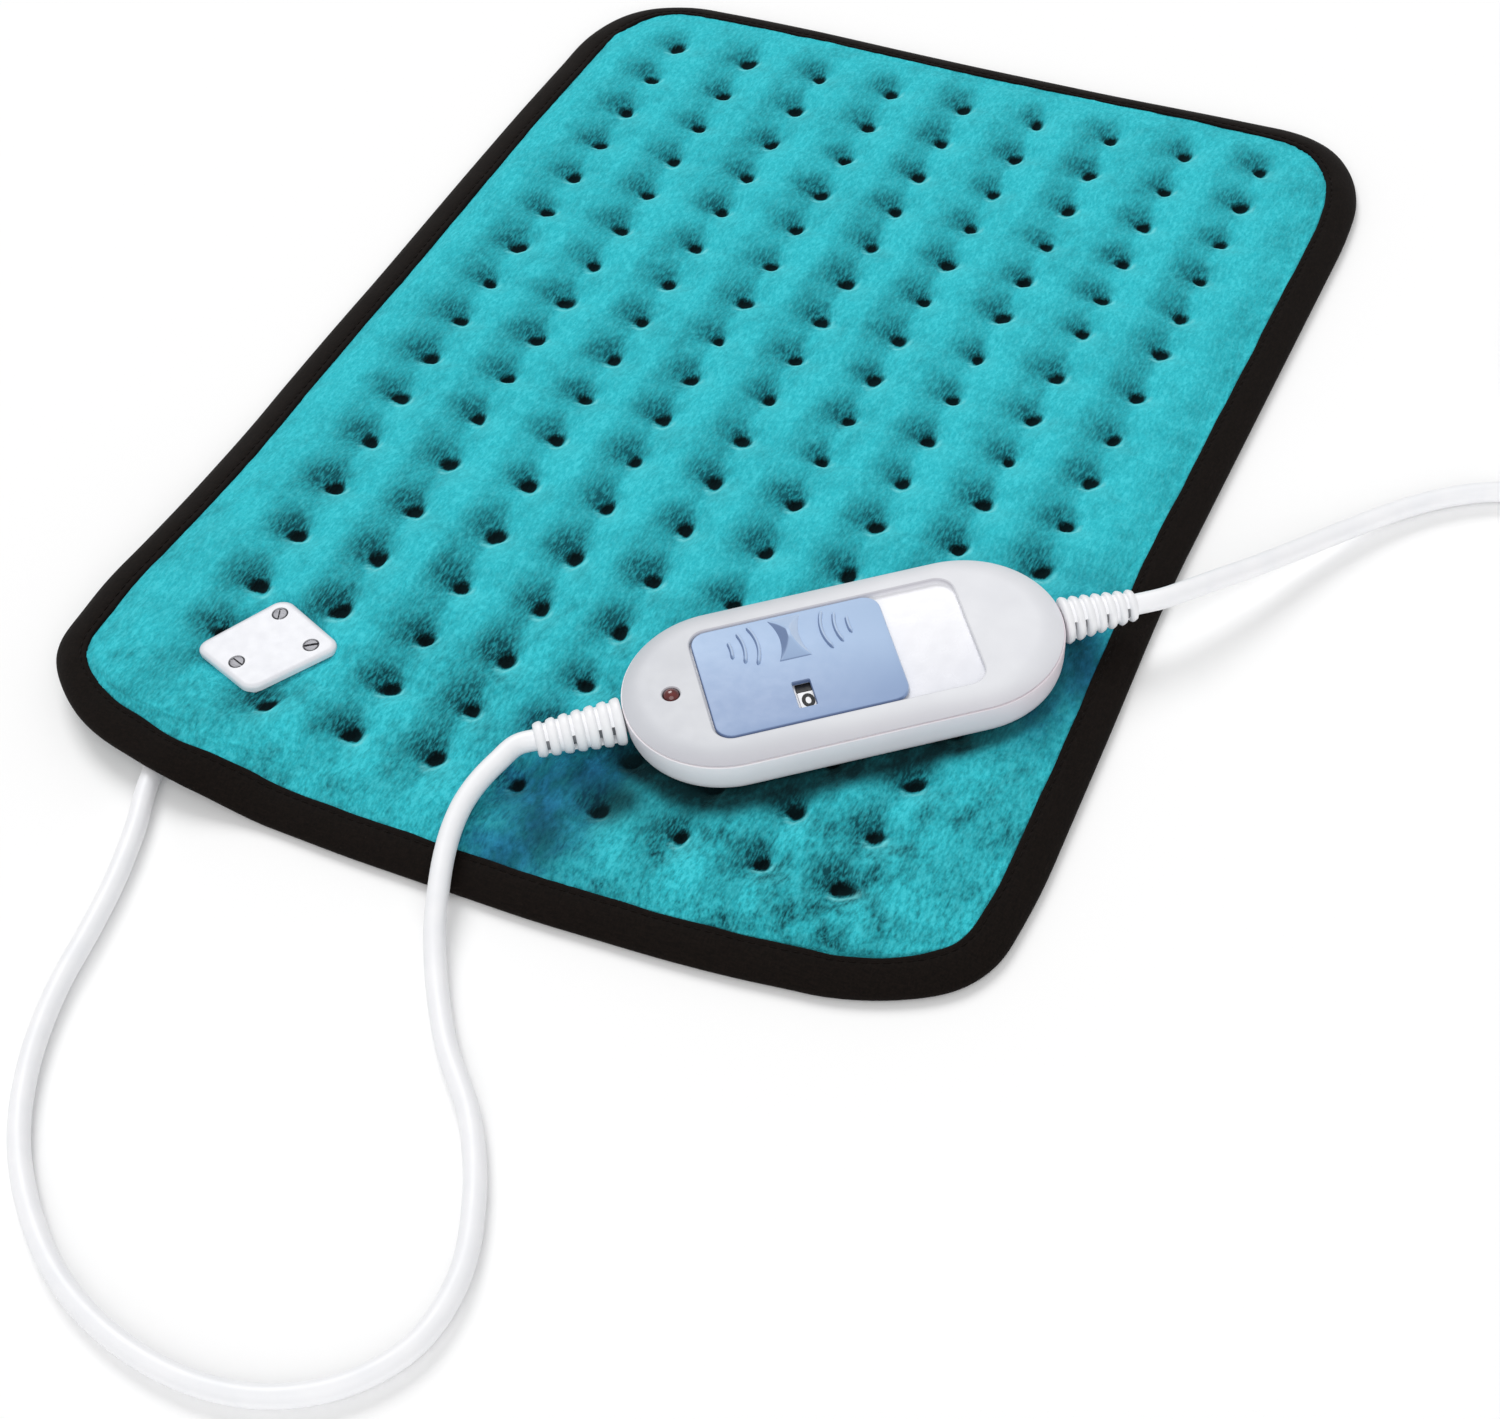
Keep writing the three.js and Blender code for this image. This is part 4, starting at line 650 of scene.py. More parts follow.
def housing_base(name, cloud_size, left, right):
    """Two clouded whites that change along the controller, a painted shading from one end to the other: the
    nodes and their colour.
    """
    n = Nodes(name)
    cloud = n.cloud(cloud_size, detail=3)
    ends = [n.mix(cloud, srgb(*dull), srgb(*bright)) for dull, bright in (left, right)]
    n.bump(n.noise(0.4, 1), 0.35, 0.012)
    return n, n.mix(n.along(ALONG_CONTROLLER, -50, 34), *ends)


def housing_low_look():
    # Painted light: the lower shell is lighter than the upper one and a little pink, to offset the shade on
    # its sides and the teal light from the cloth
    left, right = ((247, 241, 245), (251, 245, 249)), ((232, 222, 228), (237, 227, 233))
    n, colour = housing_base("housing_low", 14, left, right)
    n.shade(Base_Color=colour, Roughness=n.cloud(5, 0.41, 0.49))
    return n.material


def housing_look():
    """The upper shell, greyer than the lower as painted shade, with more painted shade where it leans to the
    near right and painted light on its recess floor.
    """
    left, right = ((200, 202, 208), (206, 208, 213)), ((220, 221, 226), (227, 228, 232))
    n, colour = housing_base("housing", 18, left, right)
    tray = n.attribute("tray")
    # Painted shade on the faces that lean to the near right
    colour = n.mix(n.facing((0.5, -0.86), 0.12, 0.7, 0.6), colour, srgb(184, 180, 189))
    # Painted light on the recess floor, lightest towards the far left
    floor = n.mix(n.along(FAR_LEFT, -132, -104), srgb(219, 220, 227), srgb(238, 238, 242))
    n.shade(Base_Color=n.mix(tray, colour, floor))
    n.shade(Roughness=n.math("SUBTRACT", n.cloud(5, 0.4, 0.48), n.times(tray, 0.15)))
    return n.material


# Dull colour, bright colour and roughness, and where they differ the sizes of clouds, grain and its depth
MOULDED = {
    "wire_red": ((178, 34, 26), (196, 46, 34), 0.4),
    "wire_blue": ((36, 80, 168), (46, 94, 184), 0.4),
    "white_plastic": ((221, 222, 228), (227, 228, 233), 0.34, 6),
    "dark_plastic": ((26, 26, 29), (36, 36, 40), 0.42),
    "index": ((16, 16, 20), (24, 24, 29), 0.5),
    "label": ((246, 246, 248), (250, 250, 251), 0.5),
    "ink": ((10, 10, 12), (20, 20, 24), 0.6, 1),
    "strap": ((20, 20, 22), (40, 40, 43), 0.8, 0.6, 0.3, 0.1),
    "cord_white": ((241, 242, 245), (247, 247, 249), 0.4, 9, 0.6, 0.02),
    # sleeve_core: dark grey as painted shade in the slots between the relief's rings
    "sleeve_core": ((120, 122, 126), (134, 136, 140), 0.6, 9, 0.6, 0.02),
}
METALS = {
    "steel": ((176, 178, 182), (206, 208, 212), 0.34),
    "screw": ((88, 88, 92), (138, 138, 142), 0.42),
    "brass": ((196, 158, 84), (222, 186, 112), 0.3),
}
SPECIAL = {
    "plush": plush_look,
    "felt": felt_look,
    "binding_tape": binding_look,
    "board_green": board_look,
    "resistor_tan": resistor_look,
    "lamp_red": lamp_look,
    "fuse_glass": glass_look,
    "slider_blue": slider_look,
    "housing": housing_look,
    "housing_low": housing_low_look,
}


@functools.cache
def look(name):
    if name in MOULDED:
        return moulded(name, *MOULDED[name])
    if name in METALS:
        return metal(name, *METALS[name])
    return SPECIAL[name]()


# Pad: its even lattice of tufts, and how the photographed one strays from it

COLUMN, ROW = 27.61, 20.665
FIRST_X, FIRST_Y = 3.58, 6.42
TUFT_COLUMNS, TUFT_ROWS = 9, 17
UNDER_PLATE = ((0, 16), (1, 15))
ACROSS, ALONG = 8, 6
CELL_X, CELL_Y = COLUMN / ACROSS, ROW / ALONG
FINE = 3
I0, I1, J0, J1 = -44, 42, -59, 55
HALF_X, HALF_Y, CORNER = 150, 200, 40
rng = np.random.default_rng(11)

flat_x, flat_y = np.meshgrid(
    FIRST_X + np.arange(I0, I1 + 1) * CELL_X, FIRST_Y + np.arange(J0, J1 + 1) * CELL_Y
)
tufts = [(c, r) for c in range(TUFT_COLUMNS) for r in range(TUFT_ROWS) if (c, r) not in UNDER_PLATE]

# How far the pad rises over the lead and its clamp, and where the rise starts and ends
LIFT = 7
LIFT_X, LIFT_SHIFT, LIFT_RUN = -HALF_X + 121, 25, 42
LIFT_FAR, LIFT_AWAY = -HALF_Y + 170, 95
SHIFT_Y, SHIFT_RUN = -HALF_Y + 30.8, 16.8

# Shifts of the tufts by place, chosen to match the photo
DRAWN_MOST, DRAWN_Y, DRAWN_RUN = -8.5, -78, 80
DRAWN_SHARES = ((0, 0), (31, 0.08), (59, 0.3), (86, 0.52), (114, 1), (124, 0.75), (139, 0))
ROWS_DRAWN = (
    (-159, -4.2), (-138, -5.6), (-118, -5.5), (-97, -3.6), (-76, -1.8), (-56, 0.9), (-35, 2.2), (6, 1.4),
    (48, 0.5), (89, 0), (131, -1), (172, -1.8),
)
NEAR_SHARES = ((-160, 0.75), (-140, 1), (-118, 1), (-97, 0.88), (-76, 0.75), (-56, 0.5), (-30, 0))

# Shifts of the sewn outline on each side
EAST = (
    (-185, 4.6), (-170, 4.2), (-160, 5.1), (-140, 5.9), (-120, 5), (-100, 4.1), (-80, 3.2), (-60, 2.1),
    (-40, 1), (-15, 0), (150, 0.3), (166, -1.2), (180, -0.9),
)
WEST = (
    (-160, 0.2), (-140, 1.1), (-120, -1.1), (-100, -1.5), (-80, -0.6), (-60, 0.6), (-40, 2), (-20, 1.9),
    (0, 1.6), (20, 1.1), (80, 0.7), (120, 0.1), (140, -0.6), (160, -1.4), (170, -1.0), (180, 0.5),
    (190, 0.6),
)
SOUTH = (
    (-138, -7), (-128, -6.6), (-120, -6.2), (-110, -4.3), (-98, -1.6), (-90, 0), (-75, -0.2), (-50, 0.4),
    (-30, 1.2), (30, 1.3), (70, -0.5), (90, -2.2), (110, -5.0), (120, -5.9), (130, -6.4), (138, -6.0),
    (145, -5.2),
)
NORTH = (
    (-145, 3.4), (-138, 3.3), (-130, 1.7), (-110, 2.1), (-90, 2.6), (-65, 2.5), (-30, 1.3), (0, 0.6),
    (50, 0.2), (75, 0.6), (90, 0.8), (110, 0.8), (120, 1.0), (130, 1.9), (140, 2.0),
)


def by_rows(rows, at_place):
    return np.interp(at_place, *zip(*rows))


def from_table(rows, at_place):
    """A table's value, softened over its neighbourhood."""
    at_place = np.asarray(at_place, float)
    return sum(by_rows(rows, at_place + step) for step in (-7, -2.5, 2.5, 7)) / 4


def lift_of(x, y):
    """How far the pad's underside stands off the floor over the lead and its clamp."""
    start = LIFT_X - LIFT_SHIFT * smooth((SHIFT_Y - y) / SHIFT_RUN)
    return LIFT * smooth((start - x) / LIFT_RUN) * smooth((LIFT_FAR - y) / LIFT_AWAY)


def inset_of(x, y):
    """Distance inside the pad's outline."""
    qx, qy = np.abs(x) - (HALF_X - CORNER), np.abs(y) - (HALF_Y - CORNER)
    corner = CORNER - np.hypot(np.maximum(qx, 0), np.maximum(qy, 0))
    return np.where((qx > 0) & (qy > 0), corner, np.minimum(HALF_X - np.abs(x), HALF_Y - np.abs(y)))


def drawn_in(x, y):
    """The tufts near the right near corner are sewn further in: the shift in x of the cloth there."""
    return DRAWN_MOST * by_rows(DRAWN_SHARES, x) * smooth((DRAWN_Y - y) / DRAWN_RUN)


def sewn_askew(x, y):
    """How far the rows of tufts stray from even lines, fading out before the tape."""
    inside = smooth((inset_of(x, y) - 12) / 18)
    bowed = 1.3 - 0.17 * ((x - FIRST_X) / COLUMN - 0.6) ** 2
    dx = bowed + by_rows(NEAR_SHARES, y) * (1.2 + 3.8 * smooth((40 - x) / 110))
    dy = from_table(ROWS_DRAWN, y) + 3.2 * np.exp(-(((x - 90) / 40) ** 2) - ((y - 68) / 16) ** 2)
    return dx * inside, dy * inside


def edge_shift(x, y):
    """How the sewn outline strays from the plain rounded rectangle, fading out before the tufts."""
    dx = from_table(EAST, y) * smooth((x - 114) / 30) - from_table(WEST, y) * smooth((-x - 108) / 34)
    dy = from_table(NORTH, x) * smooth((y - 172) / 24) - from_table(SOUTH, x) * smooth((-y - 160) / 34)
    return dx, dy


def rounded_box_distance(x, y, length, width, radius):
    qx, qy = np.abs(x) - (length / 2 - radius), np.abs(y) - (width / 2 - radius)
    outside = np.hypot(np.maximum(qx, 0), np.maximum(qy, 0)) - radius
    return outside + np.minimum(np.maximum(qx, qy), 0)


def seen_from(place, x, y):
    """Points of the scene in the millimetres of a placed piece."""
    back = place.inverted()
    px = back[0][0] * x + back[0][1] * y + back[0][3] / MM
    py = back[1][0] * x + back[1][1] * y + back[1][3] / MM
    return px, py


def controller_distance(x, y):
    return rounded_box_distance(*seen_from(CONTROLLER, x, y), LENGTH, WIDTH, WIDTH / 2)


def plate_distance(x, y):
    return rounded_box_distance(*seen_from(CLAMP, x, y), PLATE_LENGTH, PLATE_WIDTH, PLATE_CORNER)


def tuft_cell(c, r):
    return ACROSS * (c - TUFT_COLUMNS // 2) - I0, -ALONG * (r - TUFT_ROWS // 2) - J0


# The cushion's cloth, simulated at a twentieth of its size in metres

CLOTH_SCALE, CLOTH_FRAMES, CLOTH_WOBBLE = 1 / 20, 24, 0.02
HELD_RIM, HELD_X, HELD_Y, CLOTH_HOLDS = 12.4, 3.2, -5.4, "held"
SIDEWAYS_MOST, SINK_MOST, RISE_MOST = 1.6, -0.5, 12
CLOTH_SETTINGS = {
    "quality": 6,
    "mass": 0.2,
    "use_pressure": True,
    "uniform_pressure_force": 9,
    "tension_stiffness": 12,
    "compression_stiffness": 12,
    "shear_stiffness": 6,
    "bending_stiffness": 0.8,
    "tension_damping": 8,
    "compression_damping": 8,
    "air_damping": 4,
    "shrink_min": -0.035,
}


def held_crossings():
    """The crossings that stay in place: the sewn rim, the tufts and the cloth under the plate."""
    held = inset_of(flat_x, flat_y) < HELD_RIM
    held |= plate_distance(flat_x + HELD_X, flat_y + HELD_Y) < 1
    for c, r in tufts:
        i, j = tuft_cell(c, r)
        held[j, i] = True
    return [int(k) for k in np.flatnonzero(held.ravel())]


def swollen_cloth():
    """The top cloth, sewn down at its tufts and edges and blown up by its filling: cloth simulation.
    Returns how far each crossing of the grid moves."""
    rows, cols = flat_x.shape
    wobble = rng.normal(0, CLOTH_WOBBLE, flat_x.shape)
    verts = np.stack([flat_x * CLOTH_SCALE, flat_y * CLOTH_SCALE, wobble], -1).reshape(-1, 3)
    mesh = bpy.data.meshes.new("cloth")
    mesh.from_pydata(verts.tolist(), [], strip_faces(rows, cols, closed=False))
    ob = link("cloth", mesh)
    ob.vertex_groups.new(name=CLOTH_HOLDS).add(held_crossings(), 1, "REPLACE")
    cloth = ob.modifiers.new("cloth", "CLOTH")
    for name, value in CLOTH_SETTINGS.items():
        setattr(cloth.settings, name, value)
    cloth.settings.vertex_group_mass = CLOTH_HOLDS
    cloth.settings.effector_weights.gravity = 0
    cloth.collision_settings.use_collision = False
    cloth.collision_settings.use_self_collision = False
    cloth.point_cache.frame_start, cloth.point_cache.frame_end = 1, CLOTH_FRAMES
    for number in range(1, CLOTH_FRAMES + 1):
        bpy.context.scene.frame_set(number)
    apply_modifiers(ob)
    end = np.empty(len(ob.data.vertices) * 3)
    ob.data.vertices.foreach_get("co", end)
    shift = (end.reshape(-1, 3) - verts).reshape(rows, cols, 3) / CLOTH_SCALE
    bpy.context.scene.frame_set(1)
    bpy.data.objects.remove(ob)
    sideways = np.clip(shift[..., :2], -SIDEWAYS_MOST, SIDEWAYS_MOST)
    return np.concatenate([sideways, np.clip(shift[..., 2:], SINK_MOST, RISE_MOST)], -1)


def finer_rows(v):
    """FINE times as many rows, by cubic interpolation."""
    n = len(v)
    t = np.arange((n - 1) * FINE + 1) / FINE
    k = np.minimum(t.astype(int), n - 2)
    f = (t - k).reshape(-1, *([1] * (v.ndim - 1)))
    pad = np.concatenate([2 * v[:1] - v[1:2], v, 2 * v[-1:] - v[-2:-1]])
    a, b, c, d = (pad[k + m] for m in range(4))
    square, cube = 2 * a - 5 * b + 4 * c - d, 3 * b - a - 3 * c + d
    return 0.5 * (2 * b + (c - a) * f + square * f**2 + cube * f**3)


def finer(values):
    return finer_rows(finer_rows(values).swapaxes(0, 1)).swapaxes(0, 1)


LATTICE = 256


def soft_noise(x, y, size, seed, octaves=3):
    """Smooth noise from random values on a lattice, about from -1 to 1."""
    out, gain = np.zeros_like(x), 1.0
    for octave in range(octaves):
        source = np.random.default_rng(seed + octave).normal(0, 0.6, (LATTICE, LATTICE))
        u, v = x / size * 2**octave + 500.3, y / size * 2**octave + 500.7
        i, j = np.floor(u).astype(int), np.floor(v).astype(int)
        fu, fv = smooth(u - i), smooth(v - j)
        a, b = source[j % LATTICE, i % LATTICE], source[j % LATTICE, (i + 1) % LATTICE]
        c, d = source[(j + 1) % LATTICE, i % LATTICE], source[(j + 1) % LATTICE, (i + 1) % LATTICE]
        out += gain * ((a * (1 - fu) + b * fu) * (1 - fv) + (c * (1 - fu) + d * fu) * fv)
        gain *= 0.5
    return out


def blurred(values, times):
    for _ in range(times):
        for axis in (0, 1):
            values = (np.roll(values, 1, axis) + 2 * values + np.roll(values, -1, axis)) / 4
    return values


TAPE_WIDTH = 10.8


def tape_width(x, y):
    """Width of the tape that shows, by side: narrow along the far edge, where the plush bulges over it."""
    side = smooth((np.abs(x) - 118) / 25) * (1 - smooth((np.abs(y) - 150) / 40))
    left = smooth((-x - 118) / 25) * (1 - smooth((-y - 150) / 40)) * (1 - smooth((y - 182) / 14))
    far = smooth((y - 166) / 24) * (2.4 - 1.6 * smooth((x - 80) / 35))
    wide, narrow = np.exp(-(((x + 68) / 9) ** 2)), np.exp(-(((x + 92) / 9) ** 2))
    near = smooth((-y - 160) / 30) * (0.5 + 0.9 * wide - 1.3 * narrow)
    return TAPE_WIDTH - far + near - 1.0 * side + 2.3 * left


# Shade on the cloth: round patches by centre, radii across the photo and away from its camera, strength

PHOTO_COS, PHOTO_SIN = 0.903, 0.429
TINTS = (
    (17, -168, 14, 24, 1), (15, -186, 14, 12, 1), (24, -153, 16, 11, 1), (138, -62, 10, 20, 1),
    (131, -84, 10, 12, 0.8),
)
SHADOWS = (
    (36, -159, 11, 9, 0.95), (23, -179, 8, 13, 0.6), (12, -194, 12, 7, 0.5), (24, -157, 9, 5, 0.5),
    (135, -62, 7, 16, 0.6), (131, -78, 8, 9, 0.5),
)
SHADOW_REACH = ((-70, 8.5), (-45, 9.5), (10, 7.5), (30, 5), (50, 3), (66, 2))
SHADOW_SHARES = ((20, 1), (55, 0.55))


def in_photo(dx, dy):
    """A step on the pad as the photo shows it: across, and away from its camera."""
    return PHOTO_COS * dx + PHOTO_SIN * dy, PHOTO_COS * dy - PHOTO_SIN * dx


def blots(x, y, rows):
    out = []
    for cx, cy, across, away, strength in rows:
        a, b = in_photo(x - cx, y - cy)
        out.append(strength * np.exp(-((a / across) ** 2) - (b / away) ** 2))
    return out


def tint_of(x, y):
    """Painted blue shade on the cloth under the controller's two ends."""
    return np.maximum.reduce(blots(x, y, TINTS))


def shadow_of(x, y):
    """The dark band on the cloth along the controller's near side and under its left cord."""
    px, py = seen_from(CONTROLLER, x, y)
    reach = by_rows(SHADOW_REACH, px)
    near = (1 - smooth((controller_distance(x, y) - 0.25 * reach) / reach)) * smooth((6 - py) / 14)
    return np.maximum.reduce([near * by_rows(SHADOW_SHARES, px), *blots(x, y, SHADOWS)])


# One tuft: the sizes of its gather, pit and dimple, and of the painted shade and highlight round it

WINDOW = 20
GATHER, GATHER_REACH = 0.32, 9
PIT_FLAT, PIT_RUN = 1.0, 2.5
DIMPLE, DIMPLE_REACH = 1.3, 6.5
CORE_REACH, RIM_RADIUS, RIM_BREADTH = 2.7, 3.7, 0.55
SHADE_WAY, RIM_WAY = 142, -55
# Between what sizes, spreads and strengths the tufts and their painted shade vary
TUFT_SIZES, SHADE_SPREADS, SHADE_STRENGTHS = (0.85, 1.1), (4.6, 6.9), (0.66, 0.98)
NEAR_START, NEAR_RUN = 60, 220


def turn_from(angle, degrees):
    """Cosine of the angle from a direction given in degrees."""
    return np.cos(angle - math.radians(degrees))


def sew_tuft(s, column, row):
    """Gathers the cloth at one tuft, dents it, and marks its pit, the painted shade in the pit and on its
    side away from the light, and the painted highlight on its lit rim.
    """
    i, j = tuft_cell(column, row)
    cx, cy = FINE * i, FINE * j
    near = (
        slice(max(cy - WINDOW, 0), cy + WINDOW + 1),
        slice(max(cx - WINDOW, 0), cx + WINDOW + 1),
    )
    dx, dy = s.plain_x[near] - s.plain_x[cy, cx], s.plain_y[near] - s.plain_y[cy, cx]
    gather = GATHER * (1 - smooth(np.hypot(dx, dy) / GATHER_REACH))
    s.x[near] -= dx * gather
    s.y[near] -= dy * gather
    dx, dy = dx * (1 - gather), dy * (1 - gather)
    turn = np.arctan2(dy, dx)
    a, b, size = rng.uniform(0, 6.28), rng.uniform(0, 6.28), rng.uniform(*TUFT_SIZES)
    size = size * (1 + 0.1 * np.cos(2 * turn + a) + 0.06 * np.cos(3 * turn + b))
    reach = np.hypot(dx, dy) / size
    s.pit[near] = np.maximum(s.pit[near], 1 - smooth((reach - PIT_FLAT) / PIT_RUN))
    s.body[near] -= DIMPLE * np.exp(-((reach / DIMPLE_REACH) ** 2))

    # Painted shade: the pit's dark core and a lobe on its side away from the light; painted highlight: a ring
    # on its lit rim
    nearness = smooth((NEAR_START - s.plain_y[cy, cx]) / NEAR_RUN)
    over, back = in_photo(dx, dy)
    off_centre = np.hypot(over / 1.2, (back - 0.4) / np.where(back > 0.4, 1.05, 0.72)) / size
    core = np.exp(-((off_centre / (CORE_REACH * (1 + 0.16 * nearness))) ** 3))
    s.core[near] = np.maximum(s.core[near], core)
    spread = rng.uniform(*SHADE_SPREADS) * (1 + 0.28 * nearness)
    strength = min(1, rng.uniform(*SHADE_STRENGTHS) * (0.88 + 0.34 * nearness))
    away = np.hypot((dx + 0.43 * spread) / spread, (dy - 0.3 * spread) / (0.78 * spread))
    side = smooth((turn_from(turn, SHADE_WAY) + 0.5) / 0.75)
    lobe = strength * np.exp(-(away**2)) * np.where(reach > 1.2, side, 1)
    s.smear[near] = 1 - (1 - s.smear[near]) * (1 - lobe)
    rim = np.exp(-(((reach - RIM_RADIUS) / RIM_BREADTH) ** 2)) * smooth(turn_from(turn, RIM_WAY) * 1.6)
    s.rim_light[near] = np.maximum(s.rim_light[near], rim)


# The cushion's heights over the floor, without its lift

PIT_FLOOR, SADDLE, CREST, RIM_HEIGHT = 4.9, 6.5, 9.0, 4.2
UNDER_PLATE_HEIGHT, UNDER_CONTROLLER_HEIGHT = 5.0, 8.5
LOWERED_X, LOWERED_Y = 0.456, -0.77
LIGHT_X, LIGHT_Y = -0.76, 0.65


def sewn_surface():
    """The finer grid of the top cloth with its tufts sewn in, before it is laid over what is under it."""
    shift = swollen_cloth()
    shift[..., 2] *= (CREST - SADDLE) / float(np.percentile(shift[..., 2], 97))
    s = SimpleNamespace(plain_x=finer(flat_x), plain_y=finer(flat_y))
    s.x, s.y = finer(flat_x + shift[..., 0]), finer(flat_y + shift[..., 1])
    s.body = SADDLE + finer(shift[..., 2]) + 0.3 * soft_noise(s.plain_x, s.plain_y, 17, 5)
    s.pit, s.core, s.smear, s.rim_light = (np.zeros_like(s.body) for _ in range(4))
    for column, row in tufts:
        sew_tuft(s, column, row)
    s.inset = inset_of(s.plain_x, s.plain_y)
    s.inside_tape = s.inset - tape_width(s.plain_x, s.plain_y)
    s.rim = 0.72 * smooth((s.inside_tape + 1.2) / 1.7) + 0.28 * smooth(s.inside_tape / 11)
    return s


def lay(s):
    """Moves the sewn surface to its strayed places and over the lead, under the plate and controller."""
    lowered = lift_of(s.x, s.y) * smooth((s.inset - 14) / 16)
    dx, dy = edge_shift(s.plain_x, s.plain_y)
    askew_x, askew_y = sewn_askew(s.plain_x, s.plain_y)
    s.x += drawn_in(s.plain_x, s.plain_y) + dx + LOWERED_X * lowered + askew_x
    s.y += dy + LOWERED_Y * lowered + askew_y
    z = s.body + (PIT_FLOOR - s.body) * s.pit
    z = RIM_HEIGHT + (z - RIM_HEIGHT) * s.rim
    under_plate = 1 - smooth((plate_distance(s.x, s.y) - 0.3) / 3.5)
    z += (np.minimum(z, UNDER_PLATE_HEIGHT) - z) * under_plate
    under_controller = 1 - smooth((controller_distance(s.x, s.y) + 1.5) / 4)
    z += (np.minimum(z, UNDER_CONTROLLER_HEIGHT) - z) * under_controller
    free = s.rim * (1 - under_plate) * (1 - under_controller)
    z += 0.12 * soft_noise(s.plain_x, s.plain_y, 2.6, 21, 2) * free
    s.z = z + lift_of(s.x, s.y)


def add_shades(s):
    """Painted shade on the slopes away from the light and in the hollows beside the columns of tufts, and
    more dark near the tape on the near and right sides.
    """
    slope_y, slope_x = np.gradient(s.body)
    s.shade = blurred((LIGHT_Y * slope_y * FINE / CELL_Y + LIGHT_X * slope_x * FINE / CELL_X) * s.rim, 3)
    # Painted shade in the hollow on the side of each column of tufts away from the light
    column = (s.plain_x - FIRST_X + COLUMN / 2) % COLUMN - COLUMN / 2
    edge = smooth((column + 1.5 + 0.8 * soft_noise(s.plain_x, s.plain_y, 9, 31)) / 2.5)
    hollow = smooth((column + 16) / 7) * (1 - edge) * smooth((s.inside_tape - 4) / 14)
    hollow *= np.clip(0.24 + 0.12 * soft_noise(s.plain_x, s.plain_y, 24, 41), 0.05, 0.5)
    # More dark near the tape on the near and right sides
    outer = np.clip(smooth((-70 - s.plain_y) / 70) + smooth((s.plain_x - 105) / 25), 0, 1)
    edge_dark = (1 - smooth((s.inside_tape - 3) / 20)) * outer
    edge_dark *= np.clip(0.06 + 0.2 * soft_noise(s.plain_x, s.plain_y, 11, 51), 0, 0.5)
    s.smear = 1 - (1 - s.smear) * (1 - hollow) * (1 - edge_dark)


# The cushion's mesh

KEPT_INSET = 3.2
FOOT_LOW, FOOT_RISE, FOOT_INSET, FOOT_RUN, FOOT_DIMPLE = 0.15, 1.3, 11.2, 3, 0.7
# Each side of a cell: the step to its neighbour, and the two corners that the side runs between
SIDES = (
    ((-1, 0), (0, 0), (0, 1)),
    ((0, 1), (0, 1), (1, 1)),
    ((1, 0), (1, 1), (1, 0)),
    ((0, -1), (1, 0), (0, 0)),
)


def corners_of(cells):
    """The crossings that the kept cells touch."""
    rows, cols = cells.shape
    touched = np.zeros((rows + 1, cols + 1), bool)
    for j in (0, 1):
        for i in (0, 1):
            touched[j : j + rows, i : i + cols] |= cells
    return touched


def numbered(mask, first=0):
    index = -np.ones(mask.shape, int)
    index[mask] = first + np.arange(mask.sum())
    return index


def cushion_faces(cells, fine_cells, index, low):
    """Fine faces on top, coarse ones below, and between them one face for each open side of a cell."""
    faces = []
    for j, i in zip(*np.nonzero(fine_cells)):
        faces.append((index[j, i], index[j, i + 1], index[j + 1, i + 1], index[j + 1, i]))
    bordered = np.pad(cells, 1)
    for j, i in zip(*np.nonzero(cells)):
        faces.append((low[j, i], low[j + 1, i], low[j + 1, i + 1], low[j, i + 1]))
        for (dj, di), (a, b), (c, d) in SIDES:
            if bordered[j + 1 + dj, i + 1 + di]:
                continue
            start_j, start_i = FINE * (j + a), FINE * (i + b)
            line = [index[start_j + (c - a) * k, start_i + (d - b) * k] for k in range(FINE + 1)]
            faces.append((*reversed(line), low[j + a, i + b], low[j + c, i + d]))
    return [tuple(map(int, face)) for face in faces]


def bottom_points(corner):
    """The cushion's flat underside, drawn up at its rim and at the tufts."""
    foot = FOOT_LOW + FOOT_RISE * (1 - smooth((inset_of(flat_x, flat_y) - FOOT_INSET) / FOOT_RUN))
    for c, r in tufts:
        i, j = tuft_cell(c, r)
        foot[j, i] += FOOT_DIMPLE
    dx, dy = edge_shift(flat_x, flat_y)
    return np.stack([flat_x + dx, flat_y + dy, foot + lift_of(flat_x, flat_y)], -1)[corner]


def make_cushion():
    """The cushion's two faces as one closed piece: pits, ridges and a held rim on top, flat below."""
    s = sewn_surface()
    lay(s)
    add_shades(s)
    keep = inset_of(flat_x, flat_y) >= KEPT_INSET
    cells = keep[:-1, :-1] & keep[1:, :-1] & keep[:-1, 1:] & keep[1:, 1:]
    fine_cells = np.kron(cells, np.ones((FINE, FINE), bool))
    used, corner = corners_of(fine_cells), corners_of(cells)
    top = np.stack([s.x, s.y, s.z], -1)[used]
    faces = cushion_faces(cells, fine_cells, numbered(used), numbered(corner, len(top)))
    ob = mesh_object("cushion", np.vstack([top, bottom_points(corner)]).tolist(), faces)
    for name, values in (
        ("pit", s.core), ("smear", s.smear), ("shade", s.shade), ("rim_light", s.rim_light),
        ("tint", tint_of(s.x, s.y)), ("shadow", shadow_of(s.x, s.y)),
    ):
        layer = ob.data.attributes.new(name, "FLOAT", "POINT")
        data = np.zeros(len(ob.data.vertices), np.float32)
        data[: len(top)] = values[used]
        layer.data.foreach_set("value", data)
    return ob


# Binding tape: its cross-section as (inset, height), and its stitching

